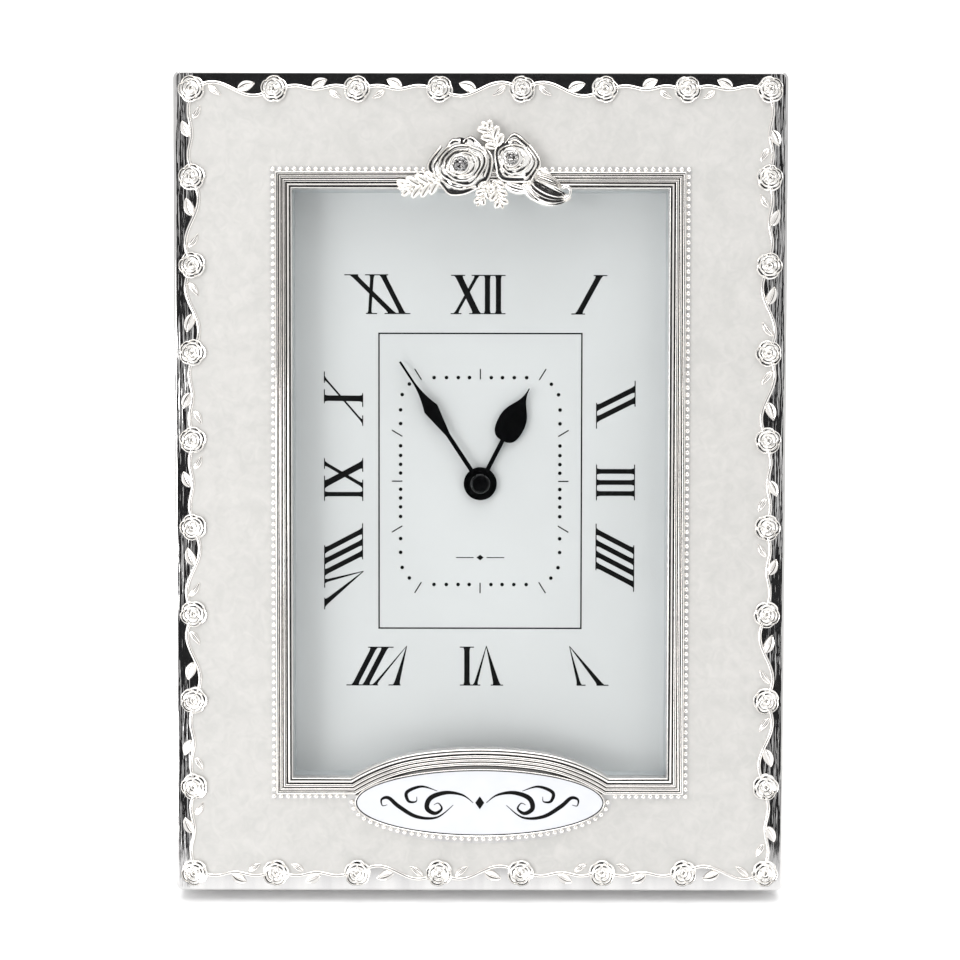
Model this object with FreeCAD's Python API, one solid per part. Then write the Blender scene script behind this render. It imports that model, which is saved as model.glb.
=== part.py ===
"""Photo frame clock: a rose-bordered silvered frame with a rectangular dial, standing on an easel strut.

Every piece is drawn face up: x to the viewer's right, y up the face from the frame's bottom edge, and z
towards the viewer from the plane of the frame's outer band. stand() then leans the finished piece back
on to its bottom edge and its strut. Lengths are millimetres and angles are degrees.
"""
import FreeCAD
import Part
import math
import os

# Front casting
FRAME_WIDTH = 149.0
FRAME_HEIGHT = 200.0
FRAME_CORNER_RADIUS = 2.0
FRONT_WALL = 2.2
SIDE_WALL = 1.8
RIM_RADIUS = 0.8
LEAN_ANGLE = 14.0

# Window and its reeded moulding
SIDE_BAND = 28.85
TOP_BAND = 28.55
FOOT_BAND = 28.15
WINDOW_WIDTH = FRAME_WIDTH - 2 * SIDE_BAND
WINDOW_HEIGHT = FRAME_HEIGHT - TOP_BAND - FOOT_BAND
WINDOW_CENTRE_HEIGHT = FOOT_BAND + WINDOW_HEIGHT / 2
MOULDING_WIDTH = 4.05
MOULDING_BASE = 0.9
REED_COUNT = 4
REED_RISE = 0.5
REED_GROOVE_SHARE = 0.16
REED_CREST_SHARE = 0.36

# Oval plaque, drawn with three radii in each quarter
PLAQUE_HALF_LENGTH = 30.1
PLAQUE_HALF_HEIGHT = 8.2
PLAQUE_CENTRE_HEIGHT = 22.2
PLAQUE_FLAT_RADIUS = 99.4
PLAQUE_FLAT_ANGLE = 7.8
PLAQUE_SHOULDER_RADIUS = 40.4
PLAQUE_GAP = 0.85
PLAQUE_RIM_WIDTH = 0.6
PLAQUE_RIM_HEIGHT = 1.3
PLAQUE_FLOOR = 0.5
PLAQUE_PLATE_THICKNESS = 0.5

# Bead row
BEAD_DIAMETER = 1.3
BEAD_PITCH = 1.75
BEAD_CHANNEL_GAP = 0.05

# Rose and vine border: a big wave in the stem, a soft double wave, and each of them turned round
BORDER_INSET = 4.6
SHORT_SIDE_WAVES = "ABbaABb"
LONG_SIDE_WAVES = "BbaABbaAB"
BIG_WAVE = 1.6
SOFT_WAVE = 0.8
STEM_WIDTH = 0.7
STEM_HEIGHT = 0.6
STEM_POINTS = 13
ENAMEL_DEPTH = 0.35
ROSE_DIAMETER = 6.3
ROSE_TIERS = 3
ROSE_TIER_HEIGHT = 0.5
ROSE_TIER_SHARE = 0.6
ROSE_PETALS = 5
ROSE_PETAL_SHARE = 0.52
LEAF_HEIGHT = 0.45
OUTER_LEAF_LENGTH = 4.1
OUTER_LEAF_WIDTH = 2.0
INNER_LEAF_LENGTH = 3.6
INNER_LEAF_WIDTH = 1.4
# Leaf places: share of the span for the base, share of the span it climbs, and its angle from the stem
OUTER_LEAF_SHARES = {"A": (0.571, -0.015, 22.0), "B": (0.466, 0.018, 30.0)}
INNER_LEAF_SHARES = {"A": (0.21, 0.047, -40.0), "B": (0.676, -0.019, -31.0)}

# Applied roses at the head of the window, placed from the middle and over the moulding's outer edge
CLUSTER_LIFT = 0.15
CLUSTER_TIER_HEIGHT = 1.0
CLUSTER_FOOT_RADIUS = 2.4
CLUSTER_FOOT_RISE = 5.7
CLUSTER_LEAF_HEIGHT = 0.9
LEFT_ROSE_DIAMETER = 15.0
LEFT_ROSE_ACROSS = -5.0
LEFT_ROSE_RISE = 1.5
RIGHT_ROSE_DIAMETER = 12.4
RIGHT_ROSE_ACROSS = 9.1
RIGHT_ROSE_RISE = 3.1
# Rose tiers from the lowest, as shares of the diameter: shift right, shift up, corner radius; corners, angle
LEFT_ROSE_TIER_SHARES = (
    (0.0, 0.0, 0.5, 8, -5.0),
    (0.033, 0.0, 0.387, 7, 180.0),
    (0.013, 0.007, 0.26, 6, 5.0),
)
RIGHT_ROSE_TIER_SHARES = (
    (0.0, 0.0, 0.5, 7, 98.0),
    (-0.056, 0.008, 0.363, 6, 97.0),
    (-0.129, -0.008, 0.274, 5, 90.0),
)
LEFT_CRYSTAL_SHARES = (0.0, -0.007)
RIGHT_CRYSTAL_SHARES = (-0.145, -0.016)
# Leaves under the roses, as shares of the left rose's diameter: right and up, angle, length and width
CLUSTER_LEAF_SHARES = (
    (-0.253, -0.253, 190.0, 0.76, 0.36),
    (0.593, 0.227, 104.0, 0.493, 0.307),
    (0.42, -0.2, 246.0, 0.453, 0.2),
    (0.507, -0.173, 289.0, 0.52, 0.253),
    (1.04, -0.187, 340.0, 0.773, 0.387),
)
CRYSTAL_DIAMETER = 4.0
CRYSTAL_TABLE_SHARE = 0.56
CRYSTAL_HEIGHT = 1.5
CRYSTAL_SEAT_DEPTH = 0.5
CRYSTAL_SEAT_GAP = 0.05
CRYSTAL_FACETS = 8

# Glass, spacer, dial and back board
PANE_SIDE_LAP = 5.15
PANE_END_LAP = 4.55
PANE_WIDTH = WINDOW_WIDTH + 2 * PANE_SIDE_LAP
PANE_HEIGHT = WINDOW_HEIGHT + 2 * PANE_END_LAP
GLASS_THICKNESS = 1.5
SPACER_DEPTH = 5.3
SPACER_WINDOW_GAP = 0.2
CARD_THICKNESS = 0.5
BOARD_THICKNESS = 3.1
POCKET_GAP = 0.5
BACKING_GAP = 0.2

# Turn clips on the back
CLIP_END_INSET = 31.2
CLIP_PIVOT_INSET = 5.0
CLIP_LENGTH = 17.0
CLIP_WIDTH = 6.5
CLIP_THICKNESS = 0.8
CLIP_GAP = 0.1
CLIP_SCREW_RADIUS = 1.5
CLIP_SCREW_HEAD_RADIUS = 2.7
CLIP_SCREW_HEAD_HEIGHT = 1.2
CLIP_SCREW_LENGTH = 6.0
RUNNING_FIT = 0.07

# Easel strut and its hinge
STRUT_PIVOT_DROP = 35.8
STRUT_FOLDED_LIFT = 0.6
STRUT_PIVOT_HEIGHT = WINDOW_CENTRE_HEIGHT - STRUT_PIVOT_DROP
STRUT_REACH = STRUT_PIVOT_HEIGHT - STRUT_FOLDED_LIFT
STRUT_THICKNESS = 2.4
STRUT_TOP_WIDTH = 27.0
STRUT_FOOT_WIDTH = 44.0
STRUT_TOP_GAP = 0.7
STRUT_TRIM = 3.0
HINGE_WIDTH = 24.0
HINGE_LEAF_HEIGHT = 6.6
HINGE_LEAF_THICKNESS = 0.7
HINGE_BARREL_RADIUS = 1.7
HINGE_PIN_RADIUS = 0.8
HINGE_KNUCKLE_GAP = 0.2
HINGE_STANDOFF = 0.15
HINGE_STOP_HEIGHT = 3.9
RIVET_RADIUS = 1.1
RIVET_HEAD_HEIGHT = 0.5
RIVET_SPACING = 17.0
STRUT_LEAF_HEIGHT = 11.0

# Quartz movement case
CASE_SIZE = 56.0
CASE_DEPTH = 15.8
CASE_CORNER_RADIUS = 3.0
CASE_WALL = 1.0
CASE_FRONT_WALL = 0.9
COVER_THICKNESS = 1.2
WASHER_THICKNESS = 0.5
WASHER_RADIUS = 9.0
BUSH_RADIUS = 4.0
BUSH_LENGTH = 3.5
BOARD_HOLE_GAP = 0.25
NUT_ACROSS_FLATS = 11.0
NUT_THICKNESS = 1.8
NUT_RECESS_RADIUS = 7.0
NUT_RECESS_GAP = 0.1
CARD_HOLE_RADIUS = 3.0

# Wheels: teeth, modules and layers, counted from the front wall of the case
GEAR_THICKNESS = 0.8
LAYER_GAP = 0.5
FIRST_LAYER_GAP = 0.3
TOOTH_ADDENDUM_SHARE = 0.7
TOOTH_DEDENDUM_SHARE = 1.1
TOOTH_TIP_SHARE = 0.08
TOOTH_ROOT_SHARE = 0.20
MOTION_MODULE = 0.5
HOUR_TEETH = 32
MINUTE_WORK_PINION_TEETH = 8
MINUTE_WORK_TEETH = 30
CANNON_TEETH = 10
SETTING_TEETH = 12
TRAIN_MODULE = 0.28
CENTRE_TEETH = 60
THIRD_PINION_TEETH = 8
THIRD_TEETH = 64
SECONDS_PINION_TEETH = 8
SECONDS_TEETH = 50
INTERMEDIATE_PINION_TEETH = 10
INTERMEDIATE_TEETH = 60
ROTOR_TEETH = 10
MINUTE_WORK_DIRECTION = 0.0
SETTING_DIRECTION = 60.0
THIRD_DIRECTION = 150.0
INTERMEDIATE_DIRECTION = 60.0
ROTOR_DIRECTION = 115.0
HOUR_TUBE_RADIUS = 2.5
MINUTE_SHAFT_RADIUS = 1.6
SECONDS_ARBOR_RADIUS = 0.5
TRAIN_ARBOR_RADIUS = 0.45
SPACER_COLLAR_RADIUS = 2.2
STUD_RADIUS = 0.8
TRAIN_BOSS_RADIUS = 1.0
SETTING_ARBOR_RADIUS = 1.0
SETTING_KNOB_RADIUS = 4.5
SETTING_KNOB_HEIGHT = 2.4
SETTING_KNOB_FLUTES = 18
SETTING_KNOB_FLUTE_RADIUS = 0.35
KNOB_GAP = 0.3
POST_RADIUS = 1.5
POST_SHARES = ((-0.411, -0.154), (0.411, -0.154), (-0.411, 0.429), (0.411, 0.429))
BRIDGE_WIDTH = 50.0
BRIDGE_BOTTOM = -10.4
BRIDGE_TOP = 26.2

# Motor, circuit and battery
MAGNET_RADIUS = 3.0
STATOR_GAP = 0.5
STATOR_WIDTH = 22.0
STATOR_ARM = 3.0
STATOR_BOTTOM = 11.4
STATOR_TOP = 25.6
COIL_LENGTH = 13.0
COIL_RADIUS = 2.3
BOBBIN_FLANGE = 0.8
BOBBIN_FLANGE_RADIUS = 2.6
COIL_CORE_RADIUS = 1.93
BOBBIN_GAP = 0.1
CIRCUIT_WIDTH = 8.0
CIRCUIT_HEIGHT = 24.0
CIRCUIT_THICKNESS = 0.8
CIRCUIT_CENTRE_SHARES = (-0.357, 0.143)
CIRCUIT_POST_SPACING = 18.0
CHIP_RADIUS = 2.2
CHIP_HEIGHT = 0.9
RESONATOR_RADIUS = 1.0
RESONATOR_LENGTH = 6.0
RESONATOR_DROP = 7.0
BATTERY_RADIUS = 7.15
BATTERY_LENGTH = 49.2
BATTERY_NUB_RADIUS = 2.75
BATTERY_NUB_LENGTH = 1.0
BATTERY_GAP = 0.3
CONTACT_THICKNESS = 0.3
CONTACT_WIDTH = 9.0
SPRING_WIRE_RADIUS = 0.3
SPRING_BASE_RADIUS = 3.4
SPRING_TIP_RADIUS = 1.4
SPRING_COILS = 3
BATTERY_SHIFT = 0.8

# Hands
HAND_THICKNESS = 0.4
HAND_GAP = 0.5
DIAL_TO_HOUR_HAND = 1.1
MINUTE_HAND_ANGLE = 33.4
HOUR_HAND_ANGLE = -27.2
MINUTE_HAND_LENGTH = 36.1
MINUTE_HAND_NEEDLE_LENGTH = 6.6
MINUTE_HAND_NEEDLE_HALF = 0.28
MINUTE_HAND_SHOULDER = 22.2
MINUTE_HAND_SHOULDER_HALF = 1.9
MINUTE_HAND_FLARE_SHARE = 0.32
MINUTE_HAND_TAPER_END = 14.5
HAND_SHANK_HALF = 0.54
HOUR_HAND_LENGTH = 26.5
HOUR_HAND_BULB = 16.5
HOUR_HAND_BULB_HALF = 3.45
HOUR_HAND_BULB_START = 12.0
HOUR_HAND_POINT_HALF = 0.15
HOUR_HUB_RADIUS = 4.1
MINUTE_HUB_RADIUS = 2.9
CAP_RADIUS = 2.5
CAP_HEIGHT = 0.9
CAP_SKIRT = 0.25

# Depths behind and heights over the band, worked out from the stack
MOULDING_TOP = MOULDING_BASE + REED_RISE
GLASS_FRONT = -FRONT_WALL
GLASS_BACK = GLASS_FRONT - GLASS_THICKNESS
DIAL_FRONT = GLASS_BACK - SPACER_DEPTH
CARD_BACK = DIAL_FRONT - CARD_THICKNESS
BOARD_BACK = CARD_BACK - BOARD_THICKNESS
CASE_FRONT = BOARD_BACK - WASHER_THICKNESS
CASE_FLOOR = CASE_FRONT - CASE_FRONT_WALL
CASE_BACK = CASE_FRONT - CASE_DEPTH
COVER_FRONT = CASE_BACK + COVER_THICKNESS
SHAFT_HEIGHT = WINDOW_CENTRE_HEIGHT
HOUR_HAND_BACK = DIAL_FRONT + DIAL_TO_HOUR_HAND
HOUR_HAND_FRONT = HOUR_HAND_BACK + HAND_THICKNESS
MINUTE_HAND_BACK = HOUR_HAND_FRONT + HAND_GAP
MINUTE_HAND_FRONT = MINUTE_HAND_BACK + HAND_THICKNESS
STRUT_PIVOT_DEPTH = BOARD_BACK - HINGE_STANDOFF - HINGE_BARREL_RADIUS
BEAD_GROW = MOULDING_WIDTH + BEAD_DIAMETER / 2
CHANNEL_GROW = MOULDING_WIDTH + BEAD_DIAMETER + BEAD_CHANNEL_GAP
CLUSTER_BASE = MOULDING_TOP + CLUSTER_LIFT
CENTRE_MODULE = TRAIN_MODULE * (THIRD_TEETH + SECONDS_PINION_TEETH) / (CENTRE_TEETH + THIRD_PINION_TEETH)
BATTERY_DEPTH = CASE_FLOOR - BATTERY_GAP - BATTERY_RADIUS
BATTERY_PLACE = -CASE_SIZE / 2 + CASE_WALL + BATTERY_GAP + BATTERY_RADIUS
BAY_WALL_PLACE = BATTERY_PLACE + BATTERY_RADIUS + BATTERY_GAP

# Nodes that reach furthest forward and back
OUTERMOST_NODES = ("front_frame", "border_roses", "easel_strut", "strut_rivets")

# Room left on every side by cuts that run through, and how closely edges are matched and joined
OVERRUN = 1.0
MATCH_TOLERANCE = 0.07


def vec(x, y, z=0.0):
    """A point or direction in face coordinates."""
    return FreeCAD.Vector(x, y, z)


def stand(shape):
    """Leans a face-up piece back on to the frame's rear bottom edge, which lies on the ground."""
    leaned = shape.copy()
    leaned.translate(vec(0, 0, -BOARD_BACK))
    leaned.rotate(vec(0, 0, 0), vec(1, 0, 0), 90 - LEAN_ANGLE)
    return leaned


def prism(wire, low, high):
    """Solid between two depths with the outline of a flat wire or face."""
    face = wire if isinstance(wire, Part.Face) else Part.Face(wire)
    face = face.copy()
    face.translate(vec(0, 0, low - face.CenterOfMass.z))
    return face.extrude(vec(0, 0, high - low))


def rod(radius, low, high, x=0.0, y=0.0):
    """Cylinder square to the face between two depths."""
    return Part.makeCylinder(radius, high - low, vec(x, y, low))


def tube(outer, inner, low, high, x=0.0, y=0.0):
    """Ring square to the face between two depths."""
    hole = rod(inner, low - OVERRUN, high + OVERRUN, x, y)
    return rod(outer, low, high, x, y).cut(hole)


def slab(width, height, low, high, x=0.0, y=0.0):
    """Plain block between two depths, centred on x and y."""
    return Part.makeBox(width, height, high - low, vec(x - width / 2, y - height / 2, low))


def polygon(points):
    """Closed wire through a list of (x, y) points."""
    corners = [vec(*p) for p in points]
    return Part.makePolygon(corners + corners[:1])


def rounded_rectangle(width, height, radius, x=0.0, y=0.0):
    """Wire of a rectangle with round corners, centred on x and y."""
    edges = []
    right, top = width / 2 - radius, height / 2 - radius
    corners = ((right, top, 0), (-right, top, 90), (-right, -top, 180), (right, -top, 270))
    for index, (cx, cy, start) in enumerate(corners):
        circle = Part.Circle(vec(x + cx, y + cy), vec(0, 0, 1), radius)
        edges.append(circle.toShape(math.radians(start), math.radians(start + 90)))
        nx, ny, after = corners[(index + 1) % len(corners)]
        begin = at_angle(cx, cy, radius, start + 90)
        finish = at_angle(nx, ny, radius, after)
        edges.append(Part.makeLine(vec(x + begin[0], y + begin[1]), vec(x + finish[0], y + finish[1])))
    return Part.Wire(edges)


def at_angle(x, y, distance, angle):
    """Point at a distance and angle from (x, y)."""
    turn = math.radians(angle)
    return (x + distance * math.cos(turn), y + distance * math.sin(turn))


def arc(centre, radius, start, end):
    """Edge of a circle between two angles, through the angle halfway."""
    points = [vec(*at_angle(*centre, radius, a)) for a in (start, (start + end) / 2, end)]
    return Part.Arc(*points).toShape()


def fused(shapes):
    """One solid from overlapping or touching shapes."""
    first, *others = shapes
    return first.multiFuse(others).removeSplitter() if others else first


def oval_arcs():
    """Centres, radii and end angles of the right upper quarter of the plaque's outline."""
    flat = math.radians(90 - PLAQUE_FLAT_ANGLE)
    flat_centre = (0.0, PLAQUE_HALF_HEIGHT - PLAQUE_FLAT_RADIUS)
    step = PLAQUE_FLAT_RADIUS - PLAQUE_SHOULDER_RADIUS
    shoulder_centre = (step * math.cos(flat), flat_centre[1] + step * math.sin(flat))
    short_by = PLAQUE_SHOULDER_RADIUS + shoulder_centre[0] - PLAQUE_HALF_LENGTH
    drop = -shoulder_centre[1]
    reach = (short_by * short_by + drop * drop) / (2 * short_by)
    end_radius = PLAQUE_SHOULDER_RADIUS - reach
    end_angle = math.degrees(math.asin(drop / reach))
    end_centre = (PLAQUE_HALF_LENGTH - end_radius, 0.0)
    return (
        (flat_centre, PLAQUE_FLAT_RADIUS, 90.0, 90 - PLAQUE_FLAT_ANGLE),
        (shoulder_centre, PLAQUE_SHOULDER_RADIUS, 90 - PLAQUE_FLAT_ANGLE, end_angle),
        (end_centre, end_radius, end_angle, 0.0),
    )


def oval_half(grow, upper):
    """Edges of the upper or lower half of the oval, grown all round."""
    side = 1 if upper else -1
    (flat, flat_radius, _, flat_end), *others = oval_arcs()

    def place(centre, mirror):
        return (mirror * centre[0], PLAQUE_CENTRE_HEIGHT + side * centre[1])

    edges = [arc(place(flat, 1), flat_radius + grow, side * flat_end, side * (180 - flat_end))]
    for centre, radius, start, end in others:
        edges.append(arc(place(centre, 1), radius + grow, side * start, side * end))
        edges.append(arc(place(centre, -1), radius + grow, side * (180 - start), side * (180 - end)))
    return edges


def oval(grow):
    """Closed outline of the plaque, grown all round."""
    return Part.Wire(Part.__sortEdges__(oval_half(grow, True) + oval_half(grow, False)))


def window_outline(grow, height=0.0):
    """Window outline with the arch over the plaque, grown away from the opening, at a height."""
    half = WINDOW_WIDTH / 2 + grow
    top = WINDOW_CENTRE_HEIGHT + WINDOW_HEIGHT / 2 + grow
    foot = WINDOW_CENTRE_HEIGHT - WINDOW_HEIGHT / 2 - grow
    arch_grow = PLAQUE_GAP + MOULDING_WIDTH - grow
    flat, shoulder, _ = oval_arcs()
    flat_centre = (0.0, PLAQUE_CENTRE_HEIGHT + flat[0][1])
    flat_radius = flat[1] + arch_grow
    shoulder_x, shoulder_y = shoulder[0][0], PLAQUE_CENTRE_HEIGHT + shoulder[0][1]
    radius = shoulder[1] + arch_grow
    foot_angle = math.degrees(math.asin((foot - shoulder_y) / radius))
    kink = at_angle(shoulder_x, shoulder_y, radius, foot_angle)
    bend = at_angle(*flat_centre, flat_radius, flat[3])
    straight = [(kink[0], foot), (half, foot), (half, top), (-half, top), (-half, foot), (-kink[0], foot)]
    edges = [Part.makeLine(vec(*a), vec(*b)) for a, b in zip(straight, straight[1:])]
    edges.append(arc((-shoulder_x, shoulder_y), radius, 180 - foot_angle, 180 - shoulder[2]))
    edges.append(arc(flat_centre, flat_radius, 180 - flat[3], flat[3]))
    edges.append(arc((shoulder_x, shoulder_y), radius, shoulder[2], foot_angle))
    wire = Part.Wire(edges)
    wire.translate(vec(0, 0, height))
    return wire


def border_spans():
    """Spans of the border in clockwise order: start point, direction, length and wave."""
    half = FRAME_WIDTH / 2 - BORDER_INSET
    low, high = BORDER_INSET, FRAME_HEIGHT - BORDER_INSET
    sides = (
        (-half, high, 0, 2 * half, SHORT_SIDE_WAVES),
        (half, high, -90, high - low, LONG_SIDE_WAVES),
        (half, low, 180, 2 * half, SHORT_SIDE_WAVES),
        (-half, low, 90, high - low, LONG_SIDE_WAVES),
    )
    spans = []
    for x, y, direction, length, waves in sides:
        step = length / len(waves)
        for index, wave in enumerate(waves):
            spans.append((at_angle(x, y, step * index, direction), direction, step, wave))
    return spans


def on_border(shape, place, direction):
    """Copy of a shape drawn from the origin along x, put at its place on the border."""
    placed = shape.copy()
    placed.rotate(vec(0, 0, 0), vec(0, 0, 1), direction)
    placed.translate(vec(*place))
    return placed


def wave_offset(wave, share):
    """How far out the stem lies at a share of its span."""
    if wave.islower():
        share = 1 - share
    if wave.upper() == "A":
        return BIG_WAVE * math.sin(2 * math.pi * share)
    return SOFT_WAVE * (1 - math.cos(4 * math.pi * share)) / 2


def stem_side(length, wave, shift):
    """Smooth edge that follows one stem drawn along x, shifted out by a distance."""
    shares = [index / (STEM_POINTS - 1) for index in range(STEM_POINTS)]
    curve = Part.BSplineCurve()
    curve.interpolate([vec(share * length, wave_offset(wave, share) + shift) for share in shares])
    return curve.toShape()


def stem(length, wave):
    """One raised stem between two roses, drawn along x."""
    half = STEM_WIDTH / 2
    ends = [Part.makeLine(vec(x, -half), vec(x, half)) for x in (0, length)]
    sides = [stem_side(length, wave, shift) for shift in (-half, half)]
    return prism(Part.Wire(Part.__sortEdges__(sides + ends)), 0, STEM_HEIGHT)


def leaf(x, y, angle, length, width, low, high):
    """Pointed leaf from two arcs, with its base at a point and its tip along an angle."""
    half = width / 2
    sides = [Part.Arc(vec(0, 0), vec(length / 2, side * half), vec(length, 0)).toShape() for side in (1, -1)]
    blade = prism(Part.Wire(Part.__sortEdges__(sides)), low, high)
    blade.rotate(vec(0, 0, 0), vec(0, 0, 1), angle)
    blade.translate(vec(x, y, 0))
    return blade


def span_leaf(length, wave, shares, leaf_length, leaf_width):
    """One border leaf at its place beside a stem drawn along x."""
    share, rise_share, angle = shares[wave.upper()]
    if wave.islower():
        share, angle = 1 - share, 180 - angle
    return leaf(share * length, rise_share * length, angle, leaf_length, leaf_width, 0, LEAF_HEIGHT)


def border_rose(turn):
    """Open rose as tiers of five round petals, each tier smaller, higher and turned from the last."""
    layers = []
    for tier in range(ROSE_TIERS):
        radius = ROSE_DIAMETER / 2 * (1 - tier / (ROSE_TIERS + ROSE_TIER_SHARE))
        petal = radius * ROSE_PETAL_SHARE
        top = ROSE_TIER_HEIGHT * (tier + 1)
        layers.append(rod(radius - petal / 2, 0, top))
        for index in range(ROSE_PETALS):
            angle = turn + 360 * (index + tier / 2) / ROSE_PETALS
            layers.append(rod(petal, 0, top, *at_angle(0, 0, radius - petal, angle)))
    return fused(layers)


def front_frame():
    """Silvered casting: front plate, side walls, rounded rim, window and the pocket for the enamel."""
    centre = FRAME_HEIGHT / 2
    outline = rounded_rectangle(FRAME_WIDTH, FRAME_HEIGHT, FRAME_CORNER_RADIUS, 0, centre)
    body = prism(outline, BOARD_BACK, 0)
    rim = [edge for edge in body.Edges
           if abs(edge.BoundBox.ZMin) < MATCH_TOLERANCE and abs(edge.BoundBox.ZMax) < MATCH_TOLERANCE]
    body = body.makeFillet(RIM_RADIUS, rim)
    inner_width, inner_height = FRAME_WIDTH - 2 * SIDE_WALL, FRAME_HEIGHT - 2 * SIDE_WALL
    body = body.cut(slab(inner_width, inner_height, BOARD_BACK - OVERRUN, -FRONT_WALL, 0, centre))
    body = body.cut(prism(window_outline(0), -FRONT_WALL - OVERRUN, OVERRUN))
    return body.cut(enamel_solid(OVERRUN))


def enamel_solid(top):
    """Space of the enamel between the vine and the bead channel, up to a height."""
    edges = [on_border(stem_side(step, wave, 0.0), place, direction)
             for place, direction, step, wave in border_spans()]
    field = prism(Part.Wire(edges), -ENAMEL_DEPTH, top)
    inner = prism(window_outline(CHANNEL_GROW), -ENAMEL_DEPTH - OVERRUN, top + OVERRUN)
    lobe = prism(oval(PLAQUE_GAP + BEAD_DIAMETER), -ENAMEL_DEPTH - OVERRUN, top + OVERRUN)
    return field.cut(inner.fuse(lobe))


def window_moulding():
    """Four reeds round the window, mitred at the corners and arched over the plaque."""
    pitch = MOULDING_WIDTH / REED_COUNT
    groove, crest = pitch * REED_GROOVE_SHARE, pitch * REED_CREST_SHARE
    profile = [(0.0, 0.0), (0.0, MOULDING_BASE)]
    for reed in range(REED_COUNT):
        start = reed * pitch
        flank = (pitch - crest) / 2
        profile.append((start + groove / 2, MOULDING_BASE))
        profile.append((start + flank, MOULDING_TOP))
        profile.append((start + pitch - flank, MOULDING_TOP))
        profile.append((start + pitch - groove / 2, MOULDING_BASE))
    profile += [(MOULDING_WIDTH, MOULDING_BASE), (MOULDING_WIDTH, 0.0)]
    wires = [window_outline(grow, height) for grow, height in profile]
    faces = []
    for wire, after in zip(wires, wires[1:] + wires[:1]):
        if wire.BoundBox.ZMax == after.BoundBox.ZMax:
            big, small = (after, wire) if after.Length > wire.Length else (wire, after)
            faces.append(Part.Face([big, small]))
        else:
            for edge, other in zip(wire.Edges, after.Edges):
                faces.append(Part.makeRuledSurface(edge, other))
    shell = Part.makeShell(faces)
    shell.sewShape()
    solid = Part.makeSolid(shell)
    solid.fix(MATCH_TOLERANCE, MATCH_TOLERANCE, MATCH_TOLERANCE)
    return solid


def bead_rows():
    """Half-round beads outside the moulding and under the plaque."""
    half = WINDOW_WIDTH / 2 + BEAD_GROW
    top = WINDOW_CENTRE_HEIGHT + WINDOW_HEIGHT / 2 + BEAD_GROW
    foot = WINDOW_CENTRE_HEIGHT - WINDOW_HEIGHT / 2 - BEAD_GROW
    under = Part.Wire(Part.__sortEdges__(oval_half(BEAD_DIAMETER, False)))
    tip = PLAQUE_HALF_LENGTH + BEAD_DIAMETER + BEAD_PITCH
    corners = [(-tip, foot), (-half, foot), (-half, top), (half, top), (half, foot), (tip, foot)]
    places = []
    for (ax, ay), (bx, by) in zip(corners, corners[1:]):
        count = round(math.hypot(bx - ax, by - ay) / BEAD_PITCH)
        places.extend((ax + (bx - ax) * k / count, ay + (by - ay) * k / count) for k in range(count))
    places.append(corners[-1])
    places.extend((p.x, p.y) for p in under.discretize(Number=round(under.Length / BEAD_PITCH) + 1))
    return [Part.makeSphere(BEAD_DIAMETER / 2, vec(x, y, 0), vec(0, 0, 1), 0, 90, 360) for x, y in places]


def border_roses():
    """The border's roses, one at each end of every span, turned alternately."""
    half_turn = 180 / ROSE_PETALS
    flowers = [border_rose(90), border_rose(90 + half_turn)]
    return [on_border(flowers[index % 2], place, 0) for index, (place, *_) in enumerate(border_spans())]


def vine_pieces(length, wave):
    """Stem and leaves of one span drawn along x, cut clear of the roses at both ends."""
    pieces = [stem(length, wave)]
    pieces.append(span_leaf(length, wave, OUTER_LEAF_SHARES, OUTER_LEAF_LENGTH, OUTER_LEAF_WIDTH))
    pieces.append(span_leaf(length, wave, INNER_LEAF_SHARES, INNER_LEAF_LENGTH, INNER_LEAF_WIDTH))
    roses = [rod(ROSE_DIAMETER / 2, -OVERRUN, OVERRUN, x) for x in (0, length)]
    return fused(pieces).cut(Part.makeCompound(roses)).Solids


def border_vine():
    """Stems and leaves of the whole border."""
    drawn = {}
    shapes = []
    for place, direction, step, wave in border_spans():
        if (step, wave) not in drawn:
            drawn[(step, wave)] = vine_pieces(step, wave)
        shapes.extend(on_border(piece, place, direction) for piece in drawn[(step, wave)])
    return shapes


def plaque_rim():
    """Oval dish soldered under the arch, with a raised rim round its floor."""
    dish = prism(oval(0), 0, PLAQUE_RIM_HEIGHT)
    return dish.cut(prism(oval(-PLAQUE_RIM_WIDTH), PLAQUE_FLOOR, PLAQUE_RIM_HEIGHT + OVERRUN))


def plaque_plate():
    """White enamelled plate that fills the dish."""
    return prism(oval(-PLAQUE_RIM_WIDTH), PLAQUE_FLOOR, PLAQUE_FLOOR + PLAQUE_PLATE_THICKNESS)


def moulding_head():
    """Height of the moulding's outer edge over the window."""
    return WINDOW_CENTRE_HEIGHT + WINDOW_HEIGHT / 2 + MOULDING_WIDTH


def left_rose_place():
    """Centre of the larger applied rose."""
    return (LEFT_ROSE_ACROSS, moulding_head() + LEFT_ROSE_RISE)


def right_rose_place():
    """Centre of the smaller applied rose."""
    return (RIGHT_ROSE_ACROSS, moulding_head() + RIGHT_ROSE_RISE)


def shifted(place, size, across_share, rise_share):
    """Point moved from a place by shares of a size."""
    return (place[0] + across_share * size, place[1] + rise_share * size)


def crystal_places():
    """Centres of the two crystals."""
    return [shifted(left_rose_place(), LEFT_ROSE_DIAMETER, *LEFT_CRYSTAL_SHARES),
            shifted(right_rose_place(), RIGHT_ROSE_DIAMETER, *RIGHT_CRYSTAL_SHARES)]


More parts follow.
